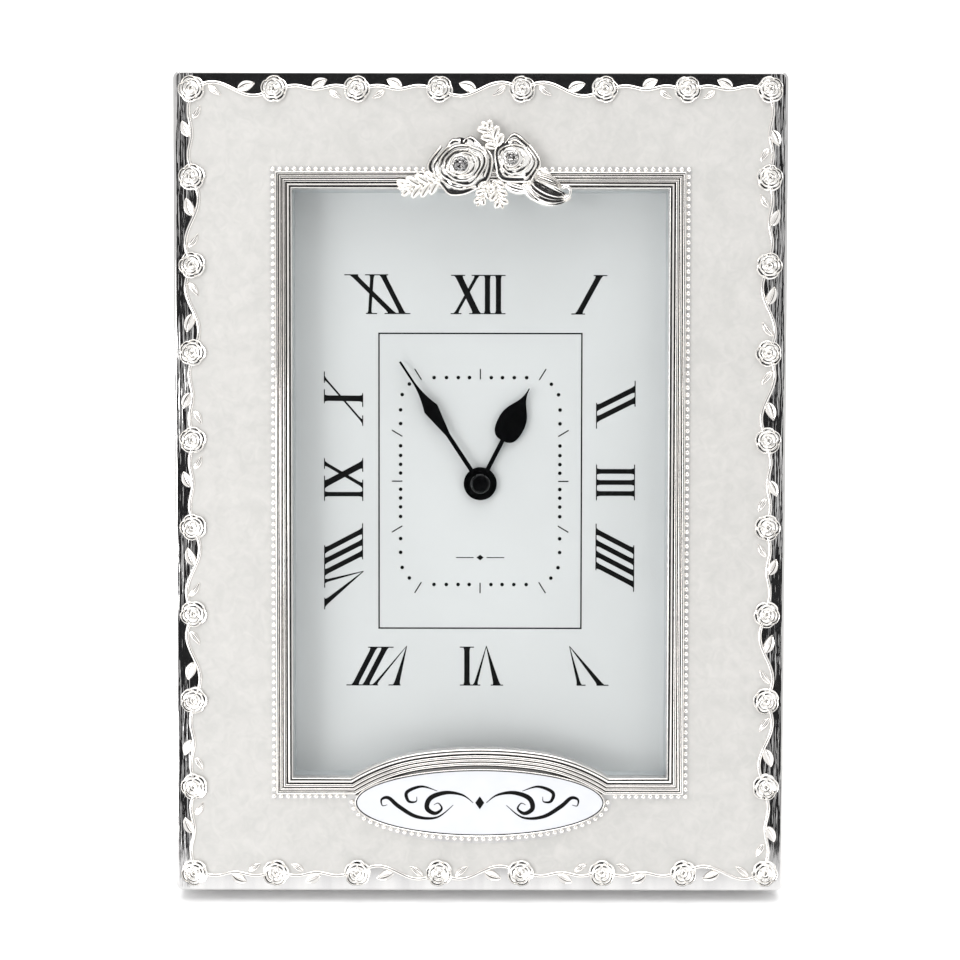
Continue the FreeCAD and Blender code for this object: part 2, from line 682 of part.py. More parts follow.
def applied_rose(place, diameter, tier_shares, crystal_place):
    """Applied rose of angular tiers, with a seat for its crystal and a foot that stands on the enamel."""
    layers = []
    for index, (across, rise, radius, corners, turn) in enumerate(tier_shares):
        centre = shifted(place, diameter, across, rise)
        points = [at_angle(*centre, radius * diameter, turn + 360 * k / corners) for k in range(corners)]
        layers.append(prism(polygon(points), CLUSTER_BASE, CLUSTER_BASE + CLUSTER_TIER_HEIGHT * (index + 1)))
    top = CLUSTER_BASE + CLUSTER_TIER_HEIGHT * len(tier_shares)
    seat_radius = CRYSTAL_DIAMETER / 2 + CRYSTAL_SEAT_GAP
    seat = rod(seat_radius, top - CRYSTAL_SEAT_DEPTH, top + OVERRUN, *crystal_place)
    foot = rod(CLUSTER_FOOT_RADIUS, 0, CLUSTER_BASE, place[0], moulding_head() + CLUSTER_FOOT_RISE)
    return fused(layers + [foot]).cut(seat)


def applied_leaves(roses):
    """Leaves that come out from under the applied roses."""
    top = CLUSTER_BASE + CLUSTER_LEAF_HEIGHT
    size = LEFT_ROSE_DIAMETER
    blades = []
    for across, rise, angle, length, width in CLUSTER_LEAF_SHARES:
        base = shifted(left_rose_place(), size, across, rise)
        blades.append(leaf(*base, angle, length * size, width * size, CLUSTER_BASE, top))
    return fused(blades).cut(roses).Solids


def crystals():
    """Flat-backed crystals, each a table and a ring of facets."""
    base = CLUSTER_BASE + CLUSTER_TIER_HEIGHT * len(LEFT_ROSE_TIER_SHARES) - CRYSTAL_SEAT_DEPTH
    shapes = []
    for place in crystal_places():
        rings = []
        for share, height in ((1.0, 0.0), (CRYSTAL_TABLE_SHARE, CRYSTAL_HEIGHT)):
            radius = CRYSTAL_DIAMETER / 2 * share
            turns = [360 * k / CRYSTAL_FACETS for k in range(CRYSTAL_FACETS)]
            wire = polygon([at_angle(*place, radius, turn) for turn in turns])
            wire.translate(vec(0, 0, base + height))
            rings.append(wire)
        shapes.append(Part.makeLoft(rings, True, True))
    return shapes


def pane(low, high):
    """Flat sheet that fits the pocket, between two depths."""
    return slab(PANE_WIDTH, PANE_HEIGHT, low, high, 0, WINDOW_CENTRE_HEIGHT)


def dial_spacer():
    """Grey tray wall between the glass and the dial, flush with the window."""
    width, height = WINDOW_WIDTH + 2 * SPACER_WINDOW_GAP, WINDOW_HEIGHT + 2 * SPACER_WINDOW_GAP
    well = slab(width, height, DIAL_FRONT - OVERRUN, GLASS_BACK + OVERRUN, 0, WINDOW_CENTRE_HEIGHT)
    return pane(DIAL_FRONT, GLASS_BACK).cut(well)


def dial_card():
    """Printed card with a hole for the hands' arbor."""
    hole = rod(CARD_HOLE_RADIUS, CARD_BACK - OVERRUN, DIAL_FRONT + OVERRUN, 0, SHAFT_HEIGHT)
    return pane(CARD_BACK, DIAL_FRONT).cut(hole)


def back_board():
    """Velvet-covered board with a hole for the bush and a recess that hides its nut."""
    board = pane(BOARD_BACK, CARD_BACK)
    hole = rod(BUSH_RADIUS + BOARD_HOLE_GAP, BOARD_BACK - OVERRUN, CARD_BACK + OVERRUN, 0, SHAFT_HEIGHT)
    recess_floor = CARD_BACK - NUT_THICKNESS - NUT_RECESS_GAP
    recess = rod(NUT_RECESS_RADIUS, recess_floor, CARD_BACK + OVERRUN, 0, SHAFT_HEIGHT)
    board = board.cut(fused([hole, recess]))
    return board.cut(Part.makeCompound(hinge_rivet_shanks()))


def backing_frame():
    """Velvet-covered fibreboard ring that fills the casting and holds the glass, dial and board."""
    inset = 2 * (SIDE_WALL + BACKING_GAP)
    ring = slab(FRAME_WIDTH - inset, FRAME_HEIGHT - inset, BOARD_BACK, -FRONT_WALL, 0, FRAME_HEIGHT / 2)
    width, height = PANE_WIDTH + 2 * POCKET_GAP, PANE_HEIGHT + 2 * POCKET_GAP
    ring = ring.cut(slab(width, height, BOARD_BACK - OVERRUN, OVERRUN, 0, WINDOW_CENTRE_HEIGHT))
    for x, y in clip_places():
        low, high = BOARD_BACK - CLIP_SCREW_LENGTH, BOARD_BACK + CLIP_SCREW_LENGTH
        ring = ring.cut(rod(CLIP_SCREW_RADIUS, low, high, x, y))
    return ring


def clip_places():
    """Pivots of the four turn clips: left low, left high, right low, right high."""
    across = PANE_WIDTH / 2 + POCKET_GAP + CLIP_PIVOT_INSET
    spread = PANE_HEIGHT / 2 - CLIP_END_INSET
    heights = (WINDOW_CENTRE_HEIGHT - spread, WINDOW_CENTRE_HEIGHT + spread)
    return [(side * across, height) for side in (-1, 1) for height in heights]


def turn_clip(x, y):
    """Stadium-shaped clip whose long end laps over the board."""
    high = BOARD_BACK - CLIP_GAP
    low = high - CLIP_THICKNESS
    inward = -1 if x > 0 else 1
    middle = x + inward * (CLIP_LENGTH - CLIP_WIDTH) / 2
    outline = rounded_rectangle(CLIP_LENGTH, CLIP_WIDTH, CLIP_WIDTH / 2 - RUNNING_FIT, middle, y)
    hole = rod(CLIP_SCREW_RADIUS + RUNNING_FIT, low - OVERRUN, high + OVERRUN, x, y)
    return prism(outline, low, high).cut(hole)


def clip_screw(x, y):
    """Round-headed screw that a clip turns on."""
    head_front = BOARD_BACK - 2 * CLIP_GAP - CLIP_THICKNESS
    head = rod(CLIP_SCREW_HEAD_RADIUS, head_front - CLIP_SCREW_HEAD_HEIGHT, head_front, x, y)
    crown = [head.Edges[index] for index in top_edges(head, False)]
    head = head.makeFillet(CLIP_SCREW_HEAD_HEIGHT / 2, crown)
    return fused([head, rod(CLIP_SCREW_RADIUS, head_front, BOARD_BACK + CLIP_SCREW_LENGTH, x, y)])


def top_edges(shape, upper):
    """Indexes of the circular edges at a shape's upper or lower end."""
    limit = shape.BoundBox.ZMax if upper else shape.BoundBox.ZMin
    found = []
    for index, edge in enumerate(shape.Edges):
        box = edge.BoundBox
        flat = box.ZMax - box.ZMin < MATCH_TOLERANCE
        if flat and abs(box.ZMax - limit) < MATCH_TOLERANCE:
            found.append(index)
    return found


def strut_opening():
    """Angle between the open strut and the back, from its pivot's height over the ground."""
    lean = math.radians(LEAN_ANGLE)
    pivot_up = STRUT_PIVOT_HEIGHT * math.cos(lean) + (STRUT_PIVOT_DEPTH - BOARD_BACK) * math.sin(lean)
    middle = strut_middle_offset()
    reach = math.hypot(STRUT_REACH, middle)
    turn = 180 - math.degrees(math.asin(pivot_up / reach) + math.atan2(middle, STRUT_REACH))
    return turn - (90 - LEAN_ANGLE)


def strut_middle_offset():
    """Distance of the strut's middle plane behind its pivot, when folded."""
    return -(strut_front_offset() - STRUT_THICKNESS / 2)


def strut_front_offset():
    """Depth of the strut's front face from its pivot, when folded: its leaf lies on that face."""
    return leaf_front_offset() - HINGE_LEAF_THICKNESS


def leaf_front_offset():
    """Depth of the strut leaf's front face from the pivot, clear of the rivet heads on the board."""
    return HINGE_BARREL_RADIUS / 2


def open_strut(shape):
    """Places a piece drawn folded, with the pivot at the origin, at the open strut's place."""
    opened = shape.copy()
    opened.rotate(vec(0, 0, 0), vec(1, 0, 0), strut_opening())
    opened.translate(vec(0, STRUT_PIVOT_HEIGHT, STRUT_PIVOT_DEPTH))
    return opened


def strut_leg():
    """Velvet-covered strut that widens to its foot, cut level where it meets the ground."""
    top = -HINGE_BARREL_RADIUS - STRUT_TOP_GAP
    foot = -STRUT_REACH - STRUT_TRIM
    half_top, half_foot = STRUT_TOP_WIDTH / 2, STRUT_FOOT_WIDTH / 2
    outline = polygon([(-half_top, top), (half_top, top), (half_foot, foot), (-half_foot, foot)])
    front = strut_front_offset()
    board = prism(outline, front - STRUT_THICKNESS, front)
    for x, y in strut_rivet_places():
        board = board.cut(rod(RIVET_RADIUS, front - STRUT_THICKNESS - OVERRUN, front + OVERRUN, x, y))
    board = open_strut(board)
    ground = slab(FRAME_WIDTH, FRAME_HEIGHT, -STRUT_REACH, 0)
    ground.rotate(vec(0, 0, 0), vec(1, 0, 0), -(90 - LEAN_ANGLE))
    ground.translate(vec(0, 0, BOARD_BACK))
    return board.cut(ground)


def strut_rivet_places():
    """Rivets through the strut and its leaf, from the pivot."""
    drop = -HINGE_BARREL_RADIUS - STRUT_TOP_GAP - (STRUT_LEAF_HEIGHT - HINGE_BARREL_RADIUS) / 2
    return [(side * RIVET_SPACING / 2, drop) for side in (-1, 1)]


def board_rivet_places():
    """Rivets through the board and its leaf, on the face."""
    rise = STRUT_PIVOT_HEIGHT + HINGE_BARREL_RADIUS + (HINGE_LEAF_HEIGHT - HINGE_BARREL_RADIUS) / 2
    return [(side * RIVET_SPACING / 2, rise) for side in (-1, 1)]


def hinge_rivet_shanks():
    """Shanks of the board rivets, flush with the front of the board."""
    low = BOARD_BACK - HINGE_LEAF_THICKNESS
    return [rod(RIVET_RADIUS, low, CARD_BACK, x, y) for x, y in board_rivet_places()]


def knuckle(width, x):
    """Barrel piece along x, centred on the pivot."""
    return Part.makeCylinder(HINGE_BARREL_RADIUS, width, vec(x - width / 2, 0, 0), vec(1, 0, 0))


def barrel_bore(radius):
    """Rod along the whole hinge, centred on the pivot."""
    width = HINGE_WIDTH + 2 * OVERRUN
    return Part.makeCylinder(radius, width, vec(-width / 2, 0, 0), vec(1, 0, 0))


def board_leaf():
    """Hinge leaf on the board, with the two outer knuckles."""
    third = HINGE_WIDTH / 3
    side = third - HINGE_KNUCKLE_GAP / 2
    back = BOARD_BACK - STRUT_PIVOT_DEPTH
    middle = HINGE_LEAF_HEIGHT / 2
    front_plate = slab(HINGE_WIDTH, HINGE_LEAF_HEIGHT, back - HINGE_LEAF_THICKNESS, back, 0, middle)
    notch_height = HINGE_BARREL_RADIUS + HINGE_KNUCKLE_GAP
    notch = slab(third + HINGE_KNUCKLE_GAP, 2 * notch_height, -HINGE_BARREL_RADIUS, back + OVERRUN)
    plate = front_plate.cut(notch)
    bores = [barrel_bore(HINGE_PIN_RADIUS)]
    knuckles = [knuckle(side, s * (HINGE_WIDTH - side) / 2) for s in (-1, 1)]
    leaf_solid = fused([plate] + knuckles).cut(Part.makeCompound(bores))
    for x, y in board_rivet_places():
        rivet_rise = y - STRUT_PIVOT_HEIGHT
        leaf_solid = leaf_solid.cut(rod(RIVET_RADIUS, -HINGE_LEAF_HEIGHT, HINGE_LEAF_HEIGHT, x, rivet_rise))
    leaf_solid.translate(vec(0, STRUT_PIVOT_HEIGHT, STRUT_PIVOT_DEPTH))
    return leaf_solid


def strut_leaf():
    """Hinge leaf on the strut, with the middle knuckle and the stop that meets the board's leaf."""
    third = HINGE_WIDTH / 3
    middle = third - HINGE_KNUCKLE_GAP
    front = leaf_front_offset()
    back = front - HINGE_LEAF_THICKNESS
    plate = slab(HINGE_WIDTH, STRUT_LEAF_HEIGHT, back, front, 0, -STRUT_LEAF_HEIGHT / 2)
    clear = HINGE_BARREL_RADIUS + HINGE_KNUCKLE_GAP
    sides = [slab(third + OVERRUN, 2 * clear, -clear, clear, s * (third + OVERRUN / 2)) for s in (-1, 1)]
    plate = plate.cut(Part.makeCompound(sides))
    for x, y in strut_rivet_places():
        plate = plate.cut(rod(RIVET_RADIUS, -STRUT_LEAF_HEIGHT, STRUT_LEAF_HEIGHT, x, y))
    swinging = open_strut(fused([plate, knuckle(middle, 0)]))
    stop_front = BOARD_BACK - HINGE_LEAF_THICKNESS - STRUT_PIVOT_DEPTH - HINGE_KNUCKLE_GAP / 2
    stop_back = stop_front - HINGE_LEAF_THICKNESS
    stop = slab(middle, HINGE_STOP_HEIGHT, stop_back, stop_front, 0, HINGE_STOP_HEIGHT / 2)
    stop.translate(vec(0, STRUT_PIVOT_HEIGHT, STRUT_PIVOT_DEPTH))
    bore = barrel_bore(HINGE_PIN_RADIUS + RUNNING_FIT)
    bore.translate(vec(0, STRUT_PIVOT_HEIGHT, STRUT_PIVOT_DEPTH))
    return fused([swinging, stop]).cut(bore)


def hinge_pin():
    """Plain pin held by the outer knuckles."""
    pin = Part.makeCylinder(HINGE_PIN_RADIUS, HINGE_WIDTH, vec(-HINGE_WIDTH / 2, 0, 0), vec(1, 0, 0))
    pin.translate(vec(0, STRUT_PIVOT_HEIGHT, STRUT_PIVOT_DEPTH))
    return pin


def board_rivets():
    """Rivets that hold the board's leaf."""
    head_front = BOARD_BACK - HINGE_LEAF_THICKNESS
    rivets = []
    for x, y in board_rivet_places():
        head = rod(2 * RIVET_RADIUS, head_front - RIVET_HEAD_HEIGHT, head_front, x, y)
        rivets.append(fused([head, rod(RIVET_RADIUS, head_front, CARD_BACK, x, y)]))
    return rivets


def strut_rivets():
    """Rivets that hold the strut to its leaf, headed at the back of the strut."""
    leaf_front = leaf_front_offset()
    strut_back = strut_front_offset() - STRUT_THICKNESS
    rivets = []
    for x, y in strut_rivet_places():
        head = rod(2 * RIVET_RADIUS, strut_back - RIVET_HEAD_HEIGHT, strut_back, x, y)
        rivets.append(open_strut(fused([head, rod(RIVET_RADIUS, strut_back, leaf_front, x, y)])))
    return rivets


def layer(index):
    """Front and back depths of a wheel layer in the movement."""
    front = CASE_FLOOR - FIRST_LAYER_GAP - index * (GEAR_THICKNESS + LAYER_GAP)
    return front - GEAR_THICKNESS, front


def wheel(teeth, module, phase, low, high, place):
    """Toothed wheel with straight-sided teeth, one of them at the phase angle."""
    pitch = 360 / teeth
    root = module * (teeth / 2 - TOOTH_DEDENDUM_SHARE)
    tip = module * (teeth / 2 + TOOTH_ADDENDUM_SHARE)
    corners = ((root, -TOOTH_ROOT_SHARE), (tip, -TOOTH_TIP_SHARE),
               (tip, TOOTH_TIP_SHARE), (root, TOOTH_ROOT_SHARE))
    points = []
    for tooth in range(teeth):
        for radius, share in corners:
            points.append(at_angle(*place, radius, phase + pitch * (tooth + share)))
    return prism(polygon(points), low, high)


def meshing_phase(direction, driver_teeth, driver_phase, driven_teeth):
    """Phase of a wheel that puts its gap where the driver's tooth is on the line between them."""
    driver_pitch, driven_pitch = 360 / driver_teeth, 360 / driven_teeth
    tooth_share = (direction - driver_phase) / driver_pitch
    return direction + 180 - driven_pitch * (0.5 - tooth_share)


def from_shaft(x, y):
    """Point on the face measured from the hands' arbor."""
    return (x, y + SHAFT_HEIGHT)


def pair_distance(teeth, other, module):
    """Distance between the centres of two wheels in mesh."""
    return module * (teeth + other) / 2


SHAFT = from_shaft(0.0, 0.0)
MINUTE_WORK_PLACE = at_angle(*SHAFT, pair_distance(CANNON_TEETH, MINUTE_WORK_TEETH, MOTION_MODULE),
                             MINUTE_WORK_DIRECTION)
SETTING_PLACE = at_angle(*MINUTE_WORK_PLACE, pair_distance(MINUTE_WORK_TEETH, SETTING_TEETH, MOTION_MODULE),
                         SETTING_DIRECTION)
THIRD_PLACE = at_angle(*SHAFT, pair_distance(THIRD_TEETH, SECONDS_PINION_TEETH, TRAIN_MODULE),
                       THIRD_DIRECTION)
INTERMEDIATE_PLACE = at_angle(*SHAFT, pair_distance(SECONDS_TEETH, INTERMEDIATE_PINION_TEETH, TRAIN_MODULE),
                              INTERMEDIATE_DIRECTION)
ROTOR_PLACE = at_angle(*INTERMEDIATE_PLACE, pair_distance(INTERMEDIATE_TEETH, ROTOR_TEETH, TRAIN_MODULE),
                       ROTOR_DIRECTION)


def hour_wheel():
    """Hour wheel on the tube that carries the hour hand."""
    low, high = layer(0)
    phase = meshing_phase(MINUTE_WORK_DIRECTION + 180, MINUTE_WORK_PINION_TEETH, 0.0, HOUR_TEETH)
    gear = wheel(HOUR_TEETH, MOTION_MODULE, phase, low, high, SHAFT)
    stem_tube = rod(HOUR_TUBE_RADIUS, low, HOUR_HAND_FRONT, *SHAFT)
    bore = rod(MINUTE_SHAFT_RADIUS + RUNNING_FIT, low - OVERRUN, HOUR_HAND_FRONT + OVERRUN, *SHAFT)
    return fused([gear, stem_tube]).cut(bore)


def minute_arbor():
    """Minute shaft with its cannon pinion, hollow at the back for the seconds arbor."""
    low, high = layer(1)
    back = layer(2)[0] - LAYER_GAP / 2
    gear = wheel(CANNON_TEETH, MOTION_MODULE, 0.0, low, high, SHAFT)
    collar = rod(SPACER_COLLAR_RADIUS, layer(2)[1] + RUNNING_FIT, low + RUNNING_FIT, *SHAFT)
    shaft = rod(MINUTE_SHAFT_RADIUS, back, MINUTE_HAND_FRONT, *SHAFT)
    bore = rod(SECONDS_ARBOR_RADIUS + RUNNING_FIT, back - OVERRUN, high, *SHAFT)
    return fused([gear, collar, shaft]).cut(bore)


def minute_work_wheel():
    """Minute-work wheel and pinion, turning on a stud in the case."""
    low, high = layer(1)
    phase = meshing_phase(MINUTE_WORK_DIRECTION, CANNON_TEETH, 0.0, MINUTE_WORK_TEETH)
    gear = wheel(MINUTE_WORK_TEETH, MOTION_MODULE, phase, low, high, MINUTE_WORK_PLACE)
    pinion = wheel(MINUTE_WORK_PINION_TEETH, MOTION_MODULE, 0.0, high, layer(0)[1], MINUTE_WORK_PLACE)
    bore = rod(STUD_RADIUS + RUNNING_FIT, low - OVERRUN, layer(0)[1] + OVERRUN, *MINUTE_WORK_PLACE)
    return fused([gear, pinion]).cut(bore)


def setting_knob():
    """Time-setting knob behind the cover, its arbor and the pinion that turns the minute-work wheel."""
    low, high = layer(1)
    work_phase = meshing_phase(MINUTE_WORK_DIRECTION, CANNON_TEETH, 0.0, MINUTE_WORK_TEETH)
    phase = meshing_phase(SETTING_DIRECTION, MINUTE_WORK_TEETH, work_phase, SETTING_TEETH)
    gear = wheel(SETTING_TEETH, MOTION_MODULE, phase, low, high, SETTING_PLACE)
    knob_front = CASE_BACK - KNOB_GAP
    knob_back = knob_front - SETTING_KNOB_HEIGHT
    arbor = rod(SETTING_ARBOR_RADIUS, knob_front, low + RUNNING_FIT, *SETTING_PLACE)
    knob = rod(SETTING_KNOB_RADIUS, knob_back, knob_front, *SETTING_PLACE)
    flutes = []
    for index in range(SETTING_KNOB_FLUTES):
        place = at_angle(*SETTING_PLACE, SETTING_KNOB_RADIUS, 360 * index / SETTING_KNOB_FLUTES)
        flutes.append(rod(SETTING_KNOB_FLUTE_RADIUS, knob_back - OVERRUN, knob_front + OVERRUN, *place))
    return fused([gear, arbor, knob.cut(Part.makeCompound(flutes))])


def centre_wheel():
    """Centre wheel that drives the minute shaft through a slipping fit."""
    low, high = layer(2)
    gear = wheel(CENTRE_TEETH, CENTRE_MODULE, THIRD_DIRECTION, low, high, SHAFT)
    return gear.cut(rod(MINUTE_SHAFT_RADIUS + RUNNING_FIT, low - OVERRUN, high + OVERRUN, *SHAFT))


def third_wheel():
    """Third wheel and pinion between the seconds pinion and the centre wheel."""
    low, high = layer(3)
    gear = wheel(THIRD_TEETH, TRAIN_MODULE, THIRD_DIRECTION + 180, low, high, THIRD_PLACE)
    phase = meshing_phase(THIRD_DIRECTION, CENTRE_TEETH, THIRD_DIRECTION, THIRD_PINION_TEETH)
    pinion = wheel(THIRD_PINION_TEETH, CENTRE_MODULE, phase, high, layer(2)[1], THIRD_PLACE)
    arbor = rod(TRAIN_ARBOR_RADIUS, layer(4)[0], layer(1)[0], *THIRD_PLACE)
    return fused([gear, pinion, arbor])


def seconds_wheel():
    """Seconds wheel and pinion on the arbor that runs inside the minute shaft."""
    low, high = layer(5)
    gear = wheel(SECONDS_TEETH, TRAIN_MODULE, INTERMEDIATE_DIRECTION, low, high, SHAFT)
    phase = meshing_phase(THIRD_DIRECTION + 180, THIRD_TEETH, THIRD_DIRECTION + 180, SECONDS_PINION_TEETH)
    pinion_low, pinion_high = layer(3)
    pinion = wheel(SECONDS_PINION_TEETH, TRAIN_MODULE, phase, pinion_low, pinion_high, SHAFT)
    arbor = rod(SECONDS_ARBOR_RADIUS, low, layer(1)[0], *SHAFT)
    return fused([gear, pinion, arbor])


def intermediate_wheel():
    """Wheel and pinion between the rotor and the seconds wheel."""
    low, high = layer(6)
    gear = wheel(INTERMEDIATE_TEETH, TRAIN_MODULE, ROTOR_DIRECTION, low, high, INTERMEDIATE_PLACE)
    phase = meshing_phase(INTERMEDIATE_DIRECTION, SECONDS_TEETH, INTERMEDIATE_DIRECTION,
                          INTERMEDIATE_PINION_TEETH)
    pinion = wheel(INTERMEDIATE_PINION_TEETH, TRAIN_MODULE, phase, high, layer(5)[1], INTERMEDIATE_PLACE)
    arbor = rod(TRAIN_ARBOR_RADIUS, layer(9)[0], layer(4)[0] + GEAR_THICKNESS / 2, *INTERMEDIATE_PLACE)
    return fused([gear, pinion, arbor])


def rotor():
    """Motor rotor: magnet, pinion and arbor."""
    low, high = layer(6)
    phase = meshing_phase(ROTOR_DIRECTION, INTERMEDIATE_TEETH, ROTOR_DIRECTION, ROTOR_TEETH)
    pinion = wheel(ROTOR_TEETH, TRAIN_MODULE, phase, low, high, ROTOR_PLACE)
    magnet = rod(MAGNET_RADIUS, layer(8)[1], layer(7)[1] + RUNNING_FIT, *ROTOR_PLACE)
    arbor = rod(TRAIN_ARBOR_RADIUS, layer(9)[0], layer(4)[0] + GEAR_THICKNESS / 2, *ROTOR_PLACE)
    return fused([pinion, magnet, arbor])


def train_bearings(radius, low, high, places):
    """Rods for holes or bosses at a list of wheel places."""
    return [rod(radius, low, high, *place) for place in places]


def movement_case():
    """Moulded case: front wall, bush, side walls, bay wall, posts and bosses."""
    outline = rounded_rectangle(CASE_SIZE, CASE_SIZE, CASE_CORNER_RADIUS, *SHAFT)
    room = rounded_rectangle(CASE_SIZE - 2 * CASE_WALL, CASE_SIZE - 2 * CASE_WALL,
                             CASE_CORNER_RADIUS - CASE_WALL, *SHAFT)
    shell = prism(outline, CASE_BACK, CASE_FRONT).cut(prism(room, CASE_BACK - OVERRUN, CASE_FLOOR))
    wall_x, wall_y = from_shaft(0.0, BAY_WALL_PLACE + CASE_WALL / 2)
    bay_wall = slab(CASE_SIZE - CASE_WALL, CASE_WALL, COVER_FRONT, CASE_FLOOR, wall_x, wall_y)
    posts = [rod(POST_RADIUS, layer(4)[1], CASE_FLOOR, *from_shaft(x * CASE_SIZE, y * CASE_SIZE))
             for x, y in POST_SHARES]
    bush = rod(BUSH_RADIUS, CASE_FRONT, CASE_FRONT + BUSH_LENGTH, *SHAFT)
    stud = rod(STUD_RADIUS, layer(1)[0], CASE_FLOOR, *MINUTE_WORK_PLACE)
    boss = rod(TRAIN_BOSS_RADIUS, layer(1)[0] - LAYER_GAP / 2, CASE_FLOOR, *THIRD_PLACE)
    body = fused([shell, bay_wall, bush, stud, boss] + posts)
    bush_front = CASE_FRONT + BUSH_LENGTH
    bore = rod(HOUR_TUBE_RADIUS + RUNNING_FIT, CASE_FLOOR - OVERRUN, bush_front + OVERRUN, *SHAFT)
    third_hole = rod(TRAIN_ARBOR_RADIUS + RUNNING_FIT, layer(2)[0], layer(1)[0] + RUNNING_FIT, *THIRD_PLACE)
    return body.cut(Part.makeCompound([bore, third_hole]))


def train_bridge():
    """Plate over the third wheel that carries the rear train and the motor."""
    low, high = layer(4)
    middle = (BRIDGE_BOTTOM + BRIDGE_TOP) / 2
    plate = slab(BRIDGE_WIDTH, BRIDGE_TOP - BRIDGE_BOTTOM, low, high, *from_shaft(0.0, middle))
    stator_front = layer(7)[1]
    stator_posts = [rod(POST_RADIUS, stator_front, low, *place) for place in stator_post_places()]
    circuit_posts = [rod(POST_RADIUS, stator_front, low, *place) for place in circuit_post_places()]
    body = fused([plate] + stator_posts + circuit_posts)
    fit = TRAIN_ARBOR_RADIUS + RUNNING_FIT
    holes = train_bearings(fit, low - OVERRUN, high + OVERRUN, (THIRD_PLACE, INTERMEDIATE_PLACE, ROTOR_PLACE))
    holes.append(rod(SECONDS_ARBOR_RADIUS + RUNNING_FIT, low - OVERRUN, high + OVERRUN, *SHAFT))
    holes.append(rod(SETTING_ARBOR_RADIUS + KNOB_GAP, low - OVERRUN, high + OVERRUN, *SETTING_PLACE))
    return body.cut(Part.makeCompound(holes))


def stator_post_places():
    """Posts under the two ends of the stator."""
    across = STATOR_WIDTH / 2 - STATOR_ARM / 2
    rise = SHAFT_HEIGHT + STATOR_TOP - STATOR_ARM / 2
    return [(ROTOR_PLACE[0] + side * across, rise) for side in (-1, 1)]


def circuit_post_places():
    """Posts under the two ends of the circuit board."""
    x, y = circuit_centre()
    return [(x, y + side * CIRCUIT_POST_SPACING / 2) for side in (-1, 1)]


def movement_cover():
    """Rear cover of the wheel room, with bearings and the hole for the setting knob."""
    gap = RUNNING_FIT
    low_edge = BAY_WALL_PLACE
    high_edge = CASE_SIZE / 2 - CASE_WALL - gap
    width = CASE_SIZE - 2 * (CASE_WALL + gap)
    middle = from_shaft(0.0, (low_edge + high_edge) / 2)
    plate = slab(width, high_edge - low_edge, CASE_BACK, COVER_FRONT, *middle)
    room = rounded_rectangle(width, CASE_SIZE - 2 * (CASE_WALL + gap), CASE_CORNER_RADIUS - CASE_WALL, *SHAFT)
    plate = plate.common(prism(room, CASE_BACK - OVERRUN, COVER_FRONT + OVERRUN))
    boss_top = layer(9)[0] + GEAR_THICKNESS / 2
    bosses = train_bearings(TRAIN_BOSS_RADIUS, CASE_BACK, boss_top, (INTERMEDIATE_PLACE, ROTOR_PLACE))
    pockets = train_bearings(TRAIN_ARBOR_RADIUS + RUNNING_FIT, layer(9)[0] - RUNNING_FIT, boss_top + OVERRUN,
                             (INTERMEDIATE_PLACE, ROTOR_PLACE))
    knob_radius = SETTING_ARBOR_RADIUS + RUNNING_FIT
    knob_hole = rod(knob_radius, CASE_BACK - OVERRUN, COVER_FRONT + OVERRUN, *SETTING_PLACE)
    return fused([plate] + bosses).cut(Part.makeCompound(pockets + [knob_hole]))


def stator():
    """Soft-iron stator: a bridge round the magnet, two arms and the core through the coil."""
    low, high = layer(7)
    x = ROTOR_PLACE[0]
    middle = SHAFT_HEIGHT + (STATOR_BOTTOM + STATOR_TOP) / 2
    plate = slab(STATOR_WIDTH, STATOR_TOP - STATOR_BOTTOM, low, high, x, middle)
    window_height = STATOR_TOP - STATOR_ARM - (ROTOR_PLACE[1] - SHAFT_HEIGHT) - MAGNET_RADIUS - STATOR_GAP
    window_bottom = ROTOR_PLACE[1] + MAGNET_RADIUS + 2 * STATOR_GAP
    window = slab(STATOR_WIDTH - 2 * STATOR_ARM, window_height - STATOR_GAP, low - OVERRUN, high + OVERRUN,
                  x, window_bottom + (window_height - STATOR_GAP) / 2)
    hole = rod(MAGNET_RADIUS + STATOR_GAP, low - OVERRUN, high + OVERRUN, *ROTOR_PLACE)
    return plate.cut(Part.makeCompound([hole, window]))


def coil_axis():
    """Middle of the stator's top arm, which is the coil's core."""
    low, high = layer(7)
    return vec(ROTOR_PLACE[0], SHAFT_HEIGHT + STATOR_TOP - STATOR_ARM / 2, (low + high) / 2)


def along_x(radius, length, centre):
    """Cylinder along x, centred on a point."""
    return Part.makeCylinder(radius, length, vec(centre.x - length / 2, centre.y, centre.z), vec(1, 0, 0))


def coil_core_hole():
    """Slot through the bobbin for the stator's arm."""
    low, high = layer(7)
    centre = coil_axis()
    height = STATOR_ARM + 2 * BOBBIN_GAP
    return slab(STATOR_WIDTH, height, low - BOBBIN_GAP, high + BOBBIN_GAP, centre.x, centre.y)


def coil_bobbin():
    """Bobbin with two flanges on the stator's arm."""
    centre = coil_axis()
    flanges = []
    for side in (-1, 1):
        place = vec(centre.x + side * (COIL_LENGTH + BOBBIN_FLANGE) / 2, centre.y, centre.z)
        flanges.append(along_x(BOBBIN_FLANGE_RADIUS, BOBBIN_FLANGE, place))
    return fused(flanges + [along_x(COIL_CORE_RADIUS, COIL_LENGTH, centre)]).cut(coil_core_hole())


def coil_winding():
    """Copper winding on the bobbin."""
    centre = coil_axis()
    return along_x(COIL_RADIUS, COIL_LENGTH, centre).cut(along_x(COIL_CORE_RADIUS, COIL_LENGTH, centre))


def circuit_centre():
    """Middle of the circuit board on the face."""
    across, rise = CIRCUIT_CENTRE_SHARES
    return from_shaft(across * CASE_SIZE, rise * CASE_SIZE)


